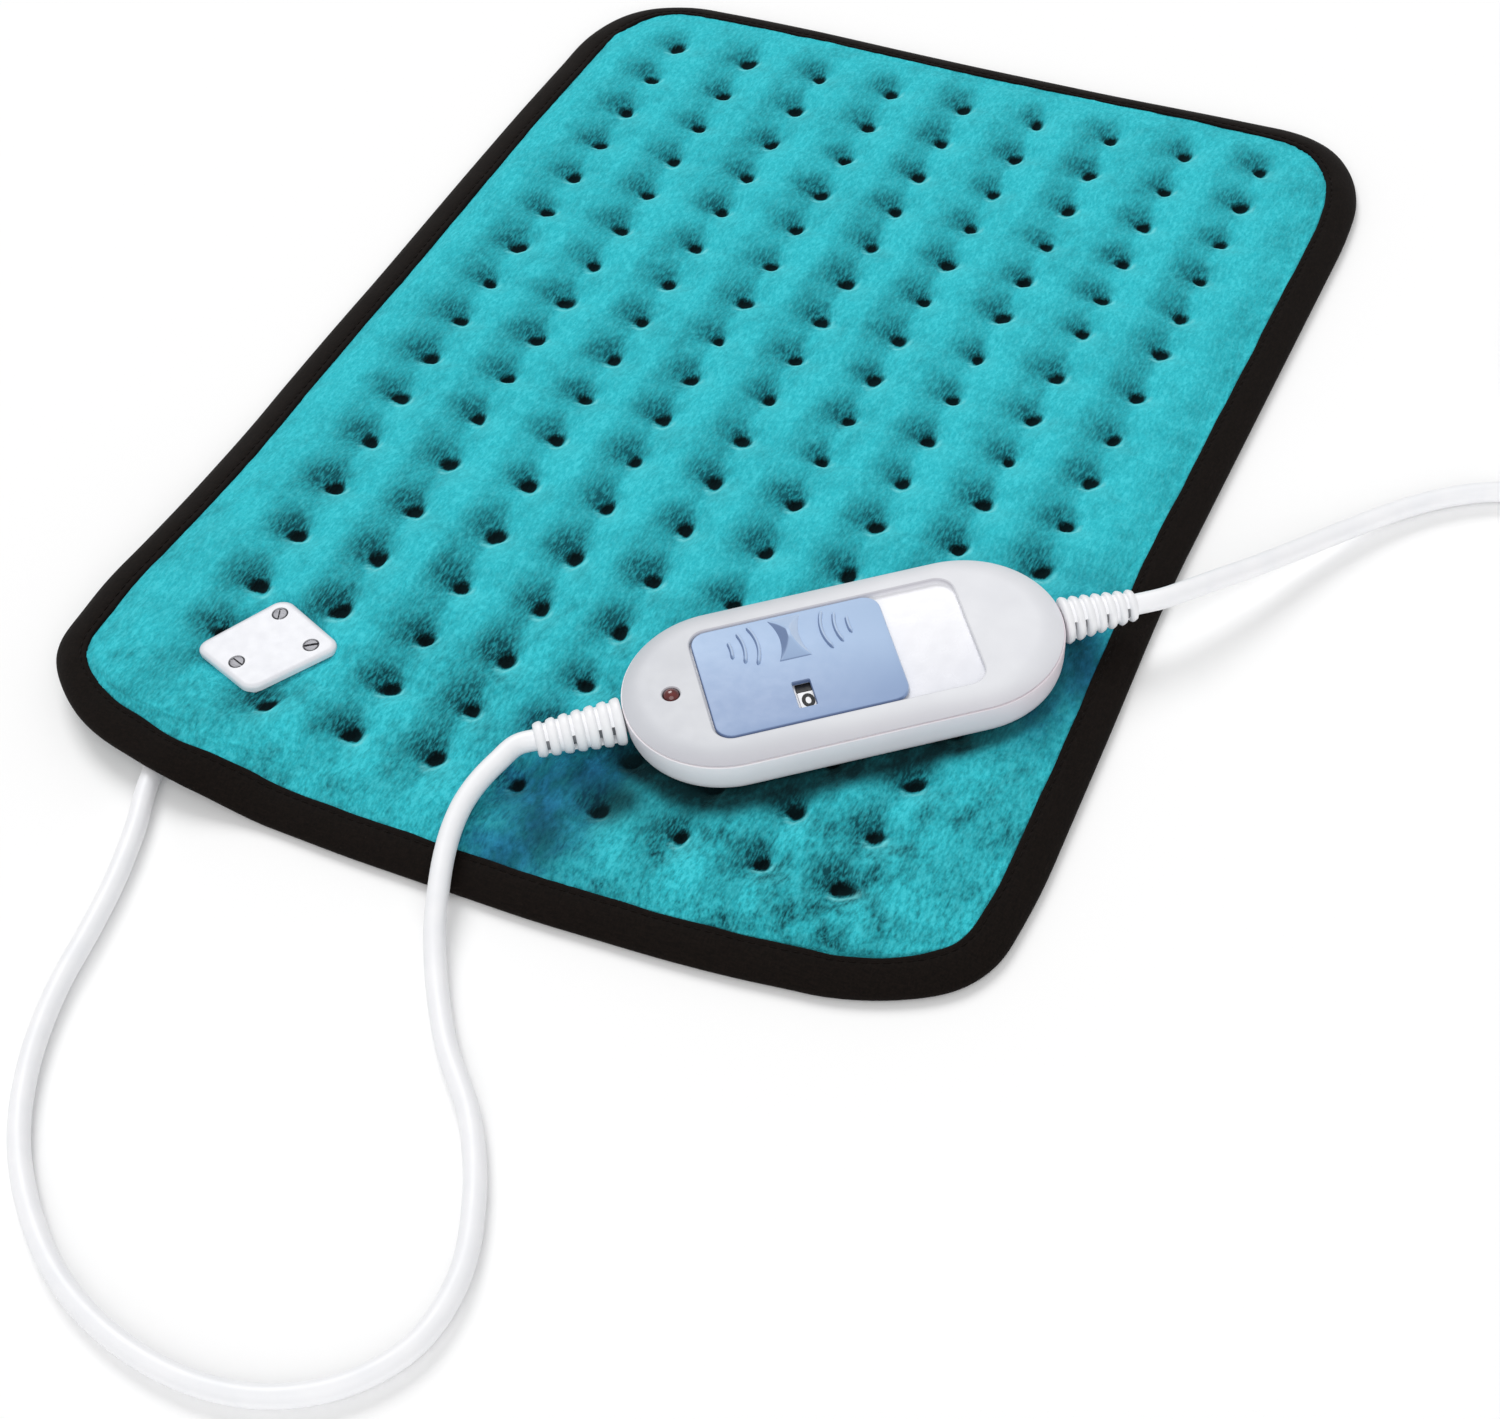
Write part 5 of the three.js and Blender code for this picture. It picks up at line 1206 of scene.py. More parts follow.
SIDE_POINTS, CORNER_POINTS = 90, 26
TAPE = [
    (11.0, 4.9), (11.0, 5.6), (10.85, 6.1), (10.4, 6.3), (9.8, 6.3), (9.35, 6.15), (9.0, 6.05), (8.65, 6.14),
    (8.2, 6.2), (6.8, 5.95), (5.2, 5.5), (3.8, 4.95), (2.6, 4.3), (1.4, 3.5), (0.6, 2.75), (0.15, 1.9),
    (0.25, 1.1), (0.9, 0.4), (1.9, 0.1), (3.0, 0.0), (7.8, 0.0), (10.5, 0.05), (11.0, 0.6), (10.9, 1.15),
    (8.0, 1.2), (3.2, 1.3), (2.6, 2.2), (3.2, 3.0), (8.0, 4.4),
]
FOLD_INSET = 3
SEAM_INSET, SEAM_HEIGHT = 9.0, 6.1
STITCH, STITCH_PITCH, LAST_GAP, THREAD_SIDES = 2.3, 3.1, 3, 6
# Shares of a stitch's length, with its radius there
STITCH_SHAPE = ((0.0, 0.1), (0.14, 0.24), (0.5, 0.27), (0.86, 0.24), (1.0, 0.1))


def outline_ring(inset):
    """Points around the pad at a distance inside its outline."""
    rx, ry, radius = HALF_X - CORNER, HALF_Y - CORNER, CORNER - inset
    centres = np.array([(rx, ry), (-rx, ry), (-rx, -ry), (rx, -ry)])
    points = []
    for quarter, (centre, after) in enumerate(zip(centres, np.roll(centres, -1, 0))):
        for k in range(CORNER_POINTS + 1):
            a = (quarter + k / CORNER_POINTS) * math.pi / 2
            points.append(centre + radius * np.array([math.cos(a), math.sin(a)]))
        start = points[-1]
        points += [start + (after - centre) * k / SIDE_POINTS for k in range(1, SIDE_POINTS)]
    return np.array(points)


def tape_place(inset):
    """One lengthwise line of the tape, at its side's own share of the width: plain and strayed."""
    ring = outline_ring(0.01)
    wide = tape_width(ring[:, 0], ring[:, 1]) / TAPE_WIDTH
    reach = np.where(inset > FOLD_INSET, FOLD_INSET + (inset - FOLD_INSET) * wide, inset)
    out = outline_ring(0)
    inward = outline_ring(1) - out
    place = out + inward / np.linalg.norm(inward, axis=1)[:, None] * reach[:, None]
    dx, dy = edge_shift(place[:, 0], place[:, 1])
    return place, place + np.c_[dx, dy]


def lengths_along(line):
    return np.r_[0, np.linalg.norm(np.diff(line, axis=0), axis=1).cumsum()]


def make_thread(line):
    """Short stitches along a closed line, each a thin bow that dips at its ends."""
    line = np.vstack([line, line[:1]])
    along = lengths_along(line)
    verts, faces = [], []
    for start in np.arange(0, along[-1] - LAST_GAP, STITCH_PITCH):
        head, tail = (
            np.array([np.interp(start + t, along, line[:, m]) for m in range(3)]) for t in (0, STITCH)
        )
        axis = (tail - head) / np.linalg.norm(tail - head)
        across = np.cross(axis, (0, 0, 1))
        up = np.cross(across, axis)
        faces += tube_faces(len(STITCH_SHAPE), THREAD_SIDES, len(verts))
        for t, r in STITCH_SHAPE:
            middle = head + (tail - head) * t + up * (0.12 * math.sin(math.pi * t) - 0.02)
            for k in range(THREAD_SIDES):
                a = 2 * math.pi * k / THREAD_SIDES
                verts.append(tuple(middle + (across * math.cos(a) + up * math.sin(a)) * r))
    return tidy_normals(mesh_object("thread", verts, faces))


def make_binding():
    """The tape folded over the rim: rounded fold, its stitching, slightly waved inner edges."""
    count = len(outline_ring(0))
    length = lengths_along(outline_ring(FOLD_INSET))
    wave = np.interp(length, [0, length[-1]], [0, 2 * math.pi])
    edge = 0.1 * np.sin(23 * wave + 1) + 0.08 * np.sin(57 * wave)
    rise = 0.1 * np.sin(41 * wave) + 0.07 * np.sin(97 * wave + 1)
    verts = []
    for inset, z in TAPE:
        plain, place = tape_place(np.full(count, inset) + edge * smooth((inset - 5) / 6))
        height = z + rise * (inset > FOLD_INSET) * (z > 3.4) + lift_of(plain[:, 0], plain[:, 1])
        verts.append(np.c_[place, height])
    faces = strip_faces(len(TAPE), count, ring=True)
    ob = tidy_normals(mesh_object("binding", np.vstack(verts).tolist(), faces))
    plain, place = tape_place(np.full(count, SEAM_INSET))
    height = SEAM_HEIGHT + rise + lift_of(plain[:, 0], plain[:, 1])
    return merge(ob, [make_thread(np.c_[place, height])])


# Clamp on the pad's near left part

SHANK, SLOT_WIDTH, SLOT_DEPTH = 2.6, 0.85, 0.55
# How far the plate's four corners are pulled, by corner
PULLS = {(1, 1): (1.5, 1.8), (-1, -1): (-1.5, -1.5), (1, -1): (-2.1, 1.5), (-1, 1): (0, 0)}
# The plate's levels as inset, corner radius and height
PLATE_LEVELS = (
    (0.2, 4.0, 12.4), (0, 4.2, 12.6), (0, 4.2, 13.9), (0.15, 4.1, 14.25), (0.5, 3.8, 14.55),
    (1.0, 3.4, 14.74), (1.7, 2.8, 14.8),
)
PLATE_WELL = ((0, 13.55), (2.5, 13.55), (2.5, 14.75), (2.85, 15.1), (0, 15.1))
PLATE_SCREWS = ((-8.7, 10, 138), (8.7, 10, 60), (-0.8, -10, 8))
PLATE_SCREW, PLATE_SCREW_LOW, PLATE_SCREW_TOP, PLATE_SCREW_LENGTH = 4.5, 13.6, 14.78, 9


def make_screw(name, replaced, diameter, low, high, length, slot_angle, place):
    """A flat-headed screw with a turned-down rim and its slot, upright at a place."""
    r = diameter / 2
    profile = [
        (0, high - length), (SHANK * 0.3, high - length), (SHANK / 2, high - length + 0.8), (SHANK / 2, low),
        (r, low), (r, high - 0.45), (r - 0.06, high - 0.2), (r - 0.28, high - 0.03), (r * 0.6, high + 0.04),
        (0, high + 0.06),
    ]
    head = turned(name, profile, 40)
    slot = plate("slot", rounded_outline(diameter * 1.3, SLOT_WIDTH, 0.05, 2), high - SLOT_DEPTH, high + 2)
    cut_away(head, moved(slot, at(0, 0, 0, slot_angle)))
    smooth_by_angle(moved(head, place), 30)
    finish_piece(head, "screw", "steel", replaced)


def plate_outline(inset, radius):
    """The plate's outline: a rounded oblong pulled askew, wider towards two of its corners."""
    length, width = PLATE_LENGTH - 2 * inset, PLATE_WIDTH - 2 * inset
    out = []
    for point in rounded_outline(length, width, radius, 14):
        x, y = point
        for (sx, sy), (dx, dy) in PULLS.items():
            share = (1 + 2 * sx * point[0] / PLATE_LENGTH) * (1 + 2 * sy * point[1] / PLATE_WIDTH) / 4
            x, y = x + share * dx, y + share * dy
        out.append((x, y))
    return out


def make_clamp():
    top = lofted("plate", [(plate_outline(inset, radius), z) for inset, radius, z in PLATE_LEVELS])
    cut_away(top, *(moved(turned("well", PLATE_WELL, 40), at(x, y)) for x, y, _ in PLATE_SCREWS))
    smooth_by_angle(top, 35)
    finish_piece(moved(top, CLAMP), "white_plastic", "white_plastic", "clamp_plate")
    for number, (x, y, slot_angle) in enumerate(PLATE_SCREWS, 1):
        make_screw(
            f"plate_screw_{number}", f"clamp_screw_{number}", PLATE_SCREW, PLATE_SCREW_LOW,
            PLATE_SCREW_TOP, PLATE_SCREW_LENGTH, slot_angle, CLAMP @ at(x, y),
        )


# Controller: its shells and the screws from below

SPLIT, STEP, WALL = 10.8, 0.5, 2.2
RECESS_LENGTH, RECESS_WIDTH, RECESS_CORNER, RECESS_X, RECESS_FLOOR = 78.4, 42.2, 5.5, -2.1, 11.75
LED_X, GRIP_Y = -50.0, 11
SLIDER_LENGTH, SLIDER_WIDTH, SLIDER_CORNER, SLIDER_STEP = 55.8, 41.2, 5, 7.2
SLIDER_X, SLIDER_LOW, SLIDER_TOP = -12.9, 12.0, 13.4
HALF_TRAVEL = SLIDER_STEP * 1.5
WINDOW_X, WINDOW_Y = -1, -10.8
STRIP_LENGTH, STRIP_LOW, STRIP_HIGH = 25.1, 11.2, 11.6
TUB_WALL, TUB_CORNER, TUB_LOW, TUB_HIGH = 1.5, 7, 10.2, 12.6
# Slot of the slider's neck and pocket of the strips, both cut from above
NECK_Y, SLOT_LENGTH, SLOT_BREADTH, SLOT_LOW = GRIP_Y - 5, 25.6, 6, 9
POCKET_LENGTH, POCKET_BREADTH, POCKET_LOW, CUT_TOP = 25.7, 10.4, 10.9, 13
NECK_LENGTH, NECK_BREADTH, NECK_LOW, NECK_SUNK = 3, 5, 7.5, 0.7
CASE_SCREWS = ((-46.3, -16.5), (46.3, -16.5), (46.3, 16.5), (-46.3, 16.5))
CASE_SCREW, CASE_SCREW_LOW, CASE_SCREW_TOP, CASE_SCREW_LENGTH, CASE_SLOT_TURN = 5.1, -1.2, -0.1, 11, 37
CASE_WELL = ((0, -1), (3.2, -1), (2.9, 0.25), (2.9, 1.4), (0, 1.4))
CORD_BORE = ((0, -6), (3.7, -6), (3.7, 6), (0, 6))
LED_BORE = ((0, 8), (2.6, 8), (2.6, 13.2), (3.0, 13.6), (0, 13.6))
# Levels as inset and height, from below
HULL = (
    (2.9, 0.0), (2.35, 0.12), (1.75, 0.55), (1.0, 1.4), (0.62, 2.6), (0.4, 4.0), (0.16, 7.0), (0, 10.3),
    (0.06, 10.66), (0.2, 10.8),
)
ROOM = ((WALL + 2.3, 1.8), (WALL + 1.0, 3.2), (WALL + 0.4, 5.8), (WALL, 12.8))
DOME_LOW, DOME_RUN, DOME_STEPS, DOME_POWER = SPLIT + 0.2, 7.7, 14, 2.3
HOLLOW = ((STEP + WALL, DOME_LOW - 2), (STEP + WALL, DOME_LOW + 0.05), (STEP + 8.2, HEIGHT - 1.5))
LIP = (
    (0, RECESS_FLOOR), (0, HEIGHT - 0.42), (-0.12, HEIGHT - 0.18), (-0.42, HEIGHT - 0.02),
    (-0.9, HEIGHT + 0.6),
)
TRAY_TOP, TRAY_HALF_LENGTH, TRAY_HALF_WIDTH = 12, 39.3, 21.2


def stadiums(levels):
    """The controller's round-ended outline at (inset, height) levels."""
    out = []
    for inset, z in levels:
        width = WIDTH - 2 * inset
        out.append((rounded_outline(LENGTH - 2 * inset, width, width / 2 - 0.001, 32), z))
    return out


def oblongs(length, width, corner, levels, steps):
    """A rounded rectangle at (inset, height) levels."""
    return [
        (rounded_outline(length - 2 * inset, width - 2 * inset, corner - inset, steps), z)
        for inset, z in levels
    ]


def make_lower_shell():
    shell = lofted("shell_low", stadiums(HULL))
    tools = [lofted("room", stadiums(ROOM))]
    for side in (-1, 1):
        place = at(side * LENGTH / 2, 0, CORD_HEIGHT) @ Matrix.Rotation(math.pi / 2, 4, "Y")
        tools.append(moved(turned("bore", CORD_BORE, 40), place))
    tools += [moved(turned("well", CASE_WELL, 32), at(x, y)) for x, y in CASE_SCREWS]
    cut_away(shell, *tools)
    smooth_by_angle(shell, 28)
    finish_piece(moved(shell, CONTROLLER), "housing_low", "housing", "controller_lower_shell")


def dome_levels():
    """A small step over the lower shell, then the roof, which flattens towards its middle."""
    foot = DOME_LOW + 0.28
    levels = [(STEP + 0.2, DOME_LOW), (STEP + 0.03, DOME_LOW + 0.08), (STEP - 0.05, DOME_LOW + 0.22)]
    for k in range(1, DOME_STEPS + 1):
        t = k / DOME_STEPS
        levels.append((STEP + DOME_RUN * t, foot + (HEIGHT - foot) * (1 - (1 - t) ** DOME_POWER)))
    return levels


def make_upper_shell():
    shell = cut_away(lofted("shell_top", stadiums(dome_levels())), lofted("hollow", stadiums(HOLLOW)))
    tub = rounded_outline(RECESS_LENGTH + 2 * TUB_WALL, RECESS_WIDTH + 2 * TUB_WALL, TUB_CORNER, 10)
    join_with(shell, moved(plate("tub", tub, TUB_LOW, TUB_HIGH), at(RECESS_X, 0)))
    recess = lofted("recess", oblongs(RECESS_LENGTH, RECESS_WIDTH, RECESS_CORNER, LIP, 14))
    slot = plate("slot", rounded_outline(SLOT_LENGTH, SLOT_BREADTH, 0.5, 3), SLOT_LOW, CUT_TOP)
    pocket = plate("pocket", rounded_outline(POCKET_LENGTH, POCKET_BREADTH, 0.4, 3), POCKET_LOW, CUT_TOP)
    cut_away(
        shell,
        moved(recess, at(RECESS_X, 0)),
        moved(slot, at(SLIDER_X + HALF_TRAVEL, NECK_Y)),
        moved(pocket, at(SLIDER_X + WINDOW_X + HALF_TRAVEL, WINDOW_Y)),
        moved(turned("bore", LED_BORE, 48), at(LED_X, 0)),
    )
    smooth_by_angle(shell, 28)
    tray = shell.data.attributes.new("tray", "FLOAT", "POINT")
    points = [v.co / MM for v in shell.data.vertices]
    inside = [
        float(z < TRAY_TOP and abs(x - RECESS_X) < TRAY_HALF_LENGTH and abs(y) < TRAY_HALF_WIDTH)
        for x, y, z in points
    ]
    tray.data.foreach_set("value", inside)
    finish_piece(moved(shell, CONTROLLER), "housing", "housing", "controller_upper_shell")


def make_case_screws():
    upside_down = Matrix.Rotation(math.pi, 4, "X")
    for number, (x, y) in enumerate(CASE_SCREWS, 1):
        make_screw(
            f"case_screw_{number}", f"housing_screw_{number}", CASE_SCREW, CASE_SCREW_LOW, CASE_SCREW_TOP,
            CASE_SCREW_LENGTH, CASE_SLOT_TURN * (number - 1), CONTROLLER @ at(x, y) @ upside_down,
        )


LED_RADIUS, LED_LOW, LED_SHOULDER, LED_CROWN = 2.3, 8.2, 12.6, 1.75
LEG, LEG_LOW, LEG_X = 0.7, 4.7, 1.27


def make_led():
    crown = [
        (LED_RADIUS * math.cos(a), LED_SHOULDER + LED_CROWN * math.sin(a))
        for a in np.linspace(0, math.pi / 2, 12)[1:-1]
    ]
    low = [(0, LED_LOW), (LED_RADIUS, LED_LOW), (LED_RADIUS, LED_SHOULDER - 0.05)]
    led = turned("lamp", [*low, *crown, (0, LED_SHOULDER + LED_CROWN)], 48)
    for side in (-1, 1):
        leg = plate("leg", rounded_outline(LEG, LEG, 0.1, 2), LEG_LOW, LED_LOW + 0.4)
        join_with(led, moved(leg, at(side * LEG_X, 0)))
    smooth_by_angle(led, 40)
    finish_piece(moved(led, CONTROLLER @ at(LED_X, 0)), "lamp_red", "lamp_red", "indicator_led")


# Slider: a plate with its window, the grip and three arcs on each side of it

ARC = 17
GRIP_WAIST, GRIP_SPAN, GRIP_RISE, GRIP_FLAT = 3.0, 17.7, 2.3, 1.95
GRIP_PEAK, GRIP_SOFT, GRIP_BLEND = 0.55, 0.05, 0.07
GRIP_ROWS, GRIP_COLS = 41, 31
BAR_ROWS, BAR_SECTION, BAR_HALF_WIDTH, BAR_RISE, BAR_ENDS, BAR_SUNK = 25, 9, 0.58, 0.75, 0.9, 0.25
# The arcs' distances from the grip's middle, with their lengths
BARS = ((9.4, 15.5), (13.4, 12.0), (17.2, 6.6))
SLIDER_LEVELS = (
    (0.25, SLIDER_LOW), (0, SLIDER_LOW + 0.25), (0, SLIDER_TOP - 0.55), (0.07, SLIDER_TOP - 0.28),
    (0.26, SLIDER_TOP - 0.08), (0.6, SLIDER_TOP),
)
# The window's levels as length, width, corner radius and height
WINDOW_LEVELS = (
    (5.2, 9.8, 0.45, SLIDER_LOW - 1), (5.2, 9.8, 0.45, SLIDER_TOP - 0.3), (5.7, 10.3, 0.7, SLIDER_TOP + 0.05),
    (6.6, 11.2, 1, SLIDER_TOP + 1),
)


def bar_on_arc(side, reach, length):
    """A rounded rib along an upright arc beside the grip, its ends running out flat."""
    half = length / 2 / ARC
    rows = []
    for k in range(BAR_ROWS):
        a = -half + 2 * half * k / (BAR_ROWS - 1)
        run = min(k, BAR_ROWS - 1 - k) / (BAR_ROWS - 1) * length
        full = math.sqrt(min(1, (run + 0.05) / BAR_ENDS))
        row = []
        for m in range(BAR_SECTION):
            t = math.pi * m / (BAR_SECTION - 1)
            r = ARC - BAR_HALF_WIDTH * full * math.cos(t) * side
            sunk = BAR_SUNK if m in (0, BAR_SECTION - 1) else 0
            z = SLIDER_TOP + BAR_RISE * full * math.sin(t) - sunk
            row.append((side * (reach + ARC) - side * r * math.cos(a), GRIP_Y + r * math.sin(a), z))
        rows.append(row)
    return skinned("bar", rows)


def grip_height(u, v):
    """Height of the four-sided peak by the shares across and along it, with a small flat on top."""
    to_side = 1 - abs(2 * u - 1)
    to_end = min(v / GRIP_PEAK, (1 - v) / (1 - GRIP_PEAK))
    low = (to_side + to_end - math.sqrt((to_side - to_end) ** 2 + GRIP_SOFT**2)) / 2
    height = GRIP_RISE * max(low, 0) * 1.02
    share = 1 / (1 + math.exp((height - GRIP_FLAT) / GRIP_BLEND))
    return max(height * share + GRIP_FLAT * (1 - share), 0.02)


def make_grip():
    """A low four-sided peak between two inward arcs."""
    half = GRIP_SPAN / 2 / ARC
    last_row, last_col = GRIP_ROWS - 1, GRIP_COLS - 1
    verts = []
    for k in range(GRIP_ROWS):
        a = -half + 2 * half * k / last_row
        edge = GRIP_WAIST + ARC - ARC * math.cos(a)
        for m in range(GRIP_COLS):
            border = k in (0, last_row) or m in (0, last_col)
            height = -0.3 if border else grip_height(m / last_col, k / last_row)
            verts.append((edge * (2 * m / last_col - 1), GRIP_Y + ARC * math.sin(a), SLIDER_TOP + height))
    faces = strip_faces(GRIP_ROWS, GRIP_COLS, closed=False)
    ring = list(range(GRIP_COLS))
    ring += [k * GRIP_COLS + last_col for k in range(1, GRIP_ROWS)]
    ring += [last_row * GRIP_COLS + m for m in reversed(range(last_col))]
    ring += [k * GRIP_COLS for k in reversed(range(1, last_row))]
    faces.append(tuple(reversed(ring)))
    return tidy_normals(mesh_object("grip", verts, faces))


def make_slider():
    body = lofted("slider_plate", oblongs(SLIDER_LENGTH, SLIDER_WIDTH, SLIDER_CORNER, SLIDER_LEVELS, 16))
    window = lofted("window", [(rounded_outline(*size, 6), z) for *size, z in WINDOW_LEVELS])
    neck = plate("neck", rounded_outline(NECK_LENGTH, NECK_BREADTH, 0.7, 4), NECK_LOW, SLIDER_TOP - NECK_SUNK)
    cut_away(body, moved(window, at(WINDOW_X, WINDOW_Y)))
    join_with(body, moved(neck, at(0, NECK_Y)))
    smooth_by_angle(body, 30)
    extras = [make_grip()]
    extras += [bar_on_arc(side, reach, length) for reach, length in BARS for side in (-1, 1)]
    merge(body, [smooth_by_angle(extra, 50) for extra in extras])
    moved(body, CONTROLLER @ at(SLIDER_X, 0))
    finish_piece(body, "slider_blue", "slider_blue", "level_slider", body=SLIDER)


# Strips under the window and their printed figures

INK_HEIGHT, INK, STROKE = 11.62, 0.03, 0.95
FIGURES_X, FIGURES_Y = SLIDER_X + WINDOW_X + 0.75, -12.1
# Each strip's near and far side, its look, its slot and the node that it replaces
STRIPS = {
    "index_band": (-8.6, -5.4, "index", "dark_plastic", "index_strip"),
    "number_band": (-16.0, -8.8, "label", "white_plastic", "number_strip"),
}


def flat_loop(name, outer, inner):
    """A printed flat ring between two outlines of equal counts."""
    low, high = INK_HEIGHT, INK_HEIGHT + INK
    verts = [
        (*point, z) for row, z in ((outer, low), (outer, high), (inner, high), (inner, low)) for point in row
    ]
    return tidy_normals(mesh_object(name, verts, strip_faces(4, len(outer)), False))


def figure(name, strokes, width=STROKE):
    """A printed figure from strokes, each a list of points, drawn as a flat line of one width."""
    low, high = INK_HEIGHT, INK_HEIGHT + INK
    parts = []
    for points in strokes:
        p = np.array(points, float)
        rows = []
        for k in range(len(p)):
            way = p[min(k + 1, len(p) - 1)] - p[max(k - 1, 0)]
            side = np.array([-way[1], way[0]]) / np.linalg.norm(way) * width / 2
            right, left = p[k] - side, p[k] + side
            rows.append([(*right, low), (*left, low), (*left, high), (*right, high)])
        parts.append(skinned(name, rows, smooth=False))
    return merge(parts[0], parts[1:])


def curve_points(*knots, per_span=10):
    return [tuple(q[:2]) for q in smooth_route([(*k, 0) for k in knots], per_span)]


def ellipse(half_width, half_height):
    around = np.linspace(0, 2 * math.pi, 41)[:-1]
    return [(half_width * math.cos(a), half_height * math.sin(a)) for a in around]


def make_figures():
    two = curve_points(
        (-1.3, 1.4), (-0.6, 2.2), (0.5, 2.1), (1.1, 1.2), (0.6, 0.1), (-0.5, -1.0), (-1.4, -2.0)
    )
    three = [
        curve_points((-1.2, 1.7), (-0.3, 2.2), (0.8, 1.9), (1.0, 1.0), (0.4, 0.3), (-0.4, 0.1)),
        curve_points((-0.4, 0.1), (0.7, -0.1), (1.2, -0.9), (0.9, -1.8), (-0.1, -2.2), (-1.3, -1.7)),
    ]
    return [
        flat_loop("zero", ellipse(1.85, 2.6), ellipse(0.78, 1.3)),
        figure("one", [[(-1.0, 1.3), (-0.2, 1.9), (0.3, 2.4)], [(0.3, 2.5), (0.3, 0), (0.3, -2.5)]], 1.0),
        figure("two", [two, [(-1.6, -2.1), (0, -2.1), (1.6, -2.1)]]),
        figure("three", three),
    ]


def make_label():
    for name, (near, far, look_name, slot, replaced) in STRIPS.items():
        strip = plate(name, rounded_outline(STRIP_LENGTH, far - near, 0.3, 3), STRIP_LOW, STRIP_HIGH)
        place = CONTROLLER @ at(SLIDER_X + WINDOW_X + HALF_TRAVEL, (near + far) / 2)
        finish_piece(moved(strip, place), look_name, slot, replaced)
    for number, ob in enumerate(make_figures()):
        place = CONTROLLER @ at(FIGURES_X + number * SLIDER_STEP, FIGURES_Y)
        finish_piece(moved(ob, place), "ink", "dark_plastic")


# Ribbed strain reliefs

RINGS, RING_GAP, RING_BARREL = 7, 0.9, 0.06
RING_CORNER = ((0.75, 0), (0.3, 0.22), (0, 0.75))
ROOT_RADIUS, SLEEVE_RADIUS = 6.9, 3.4
# How far the blocks reach into the rings beside them, and how far they stay below the rings' surface
BLOCK_OVERLAP, BLOCK_DEPTH = 0.3, 0.8
# Tip radius and length on each side
RELIEFS = {"left": (5.0, 25.4), "right": (4.5, 21.8)}
CLOSED_GAPS = (2, 4)
# The middles and half angles of the blocks in a closed gap and in an open one, in degrees
CLOSED_BLOCKS, OPEN_BLOCKS = ((0, 180),), ((0, 54), (180, 44))


def relief_ring(low, high, low_radius, high_radius):
    """One ring, a little barrelled, with rounded corners."""
    profile = [(0, low), *((low_radius - inwards, low + up) for inwards, up in RING_CORNER)]
    profile.append(((low_radius + high_radius) / 2 + RING_BARREL, (low + high) / 2))
    profile += [(high_radius - inwards, high - down) for inwards, down in reversed(RING_CORNER)]
    return turned("ring", [*profile, (0, high)], 64)


def web(radius, low, high, turn, half_angle):
    """A block of the sleeve between two rings, part of the way round."""
    steps, inner = max(6, half_angle // 5), SLEEVE_RADIUS - 0.2
    rows = []
    for k in range(steps + 1):
        a = math.radians(turn - half_angle + 2 * half_angle * k / steps)
        section = ((inner, low), (radius, low), (radius, high), (inner, high))
        rows.append([(r * math.cos(a), r * math.sin(a), z) for r, z in section])
    if half_angle < 180:
        return skinned("web", rows)
    verts = [point for row in rows[:-1] for point in row]
    return tidy_normals(mesh_object("web", verts, strip_faces(steps, 4, ring=True)))


def make_relief(side):
    """Seven thick rings on a sleeve; some of the gaps between them are cut through at the two sides."""
    tip_radius, length = RELIEFS[side]
    pitch = (length + RING_GAP) / RINGS

    def radius_at(z):
        return ROOT_RADIUS + (tip_radius - ROOT_RADIUS) * z / length

    end = length - 0.2
    inner = [(0, -7.8), (4, -7.8), (4, -5.8), (SLEEVE_RADIUS, -5.8), (SLEEVE_RADIUS, end), (0, end)]
    core = smooth_by_angle(turned(f"relief_{side}", inner, 48), 40)
    pieces = []
    for k in range(RINGS):
        low, high = pitch * k, pitch * (k + 1) - RING_GAP
        pieces.append(relief_ring(low, high, radius_at(low), radius_at(high)))
    for k in range(RINGS - 1):
        high = pitch * (k + 1) + BLOCK_OVERLAP
        low = high - RING_GAP - 2 * BLOCK_OVERLAP
        for middle, half in CLOSED_BLOCKS if k in CLOSED_GAPS else OPEN_BLOCKS:
            turn = middle if side == "left" else 180 - middle
            pieces.append(web(radius_at(high) - BLOCK_DEPTH, low, high, turn, half))
    sleeve, *others = [smooth_by_angle(piece, 50) for piece in pieces]
    merge(sleeve, others)
    sleeve.name = f"relief_rings_{side}"
    sign = 1 if side == "right" else -1
    root = at(sign * (LENGTH / 2 + RELIEF_GAP), 0, CORD_HEIGHT)
    place = CONTROLLER @ root @ Matrix.Rotation(sign * math.pi / 2, 4, "Y")
    finish_piece(moved(sleeve, place), "cord_white", "cord_white", f"strain_relief_{side}")
    # The sleeve under the rings is painted dark grey, as shade in the slots
    finish_piece(moved(core, place), "sleeve_core", "cord_white")
    return sleeve, core


# Plug, built upright along its cord and then laid down

LAID = Matrix(((0, 0, 1, 0), (1, 0, 0, 0), (0, 1, 0, 0), (0, 0, 0, 1)))
RIDGE_FOOT, RIDGE_SUNK, RIDGE_CREST, RIDGE_RISE = 1.2, 0.6, 0.7, 0.3
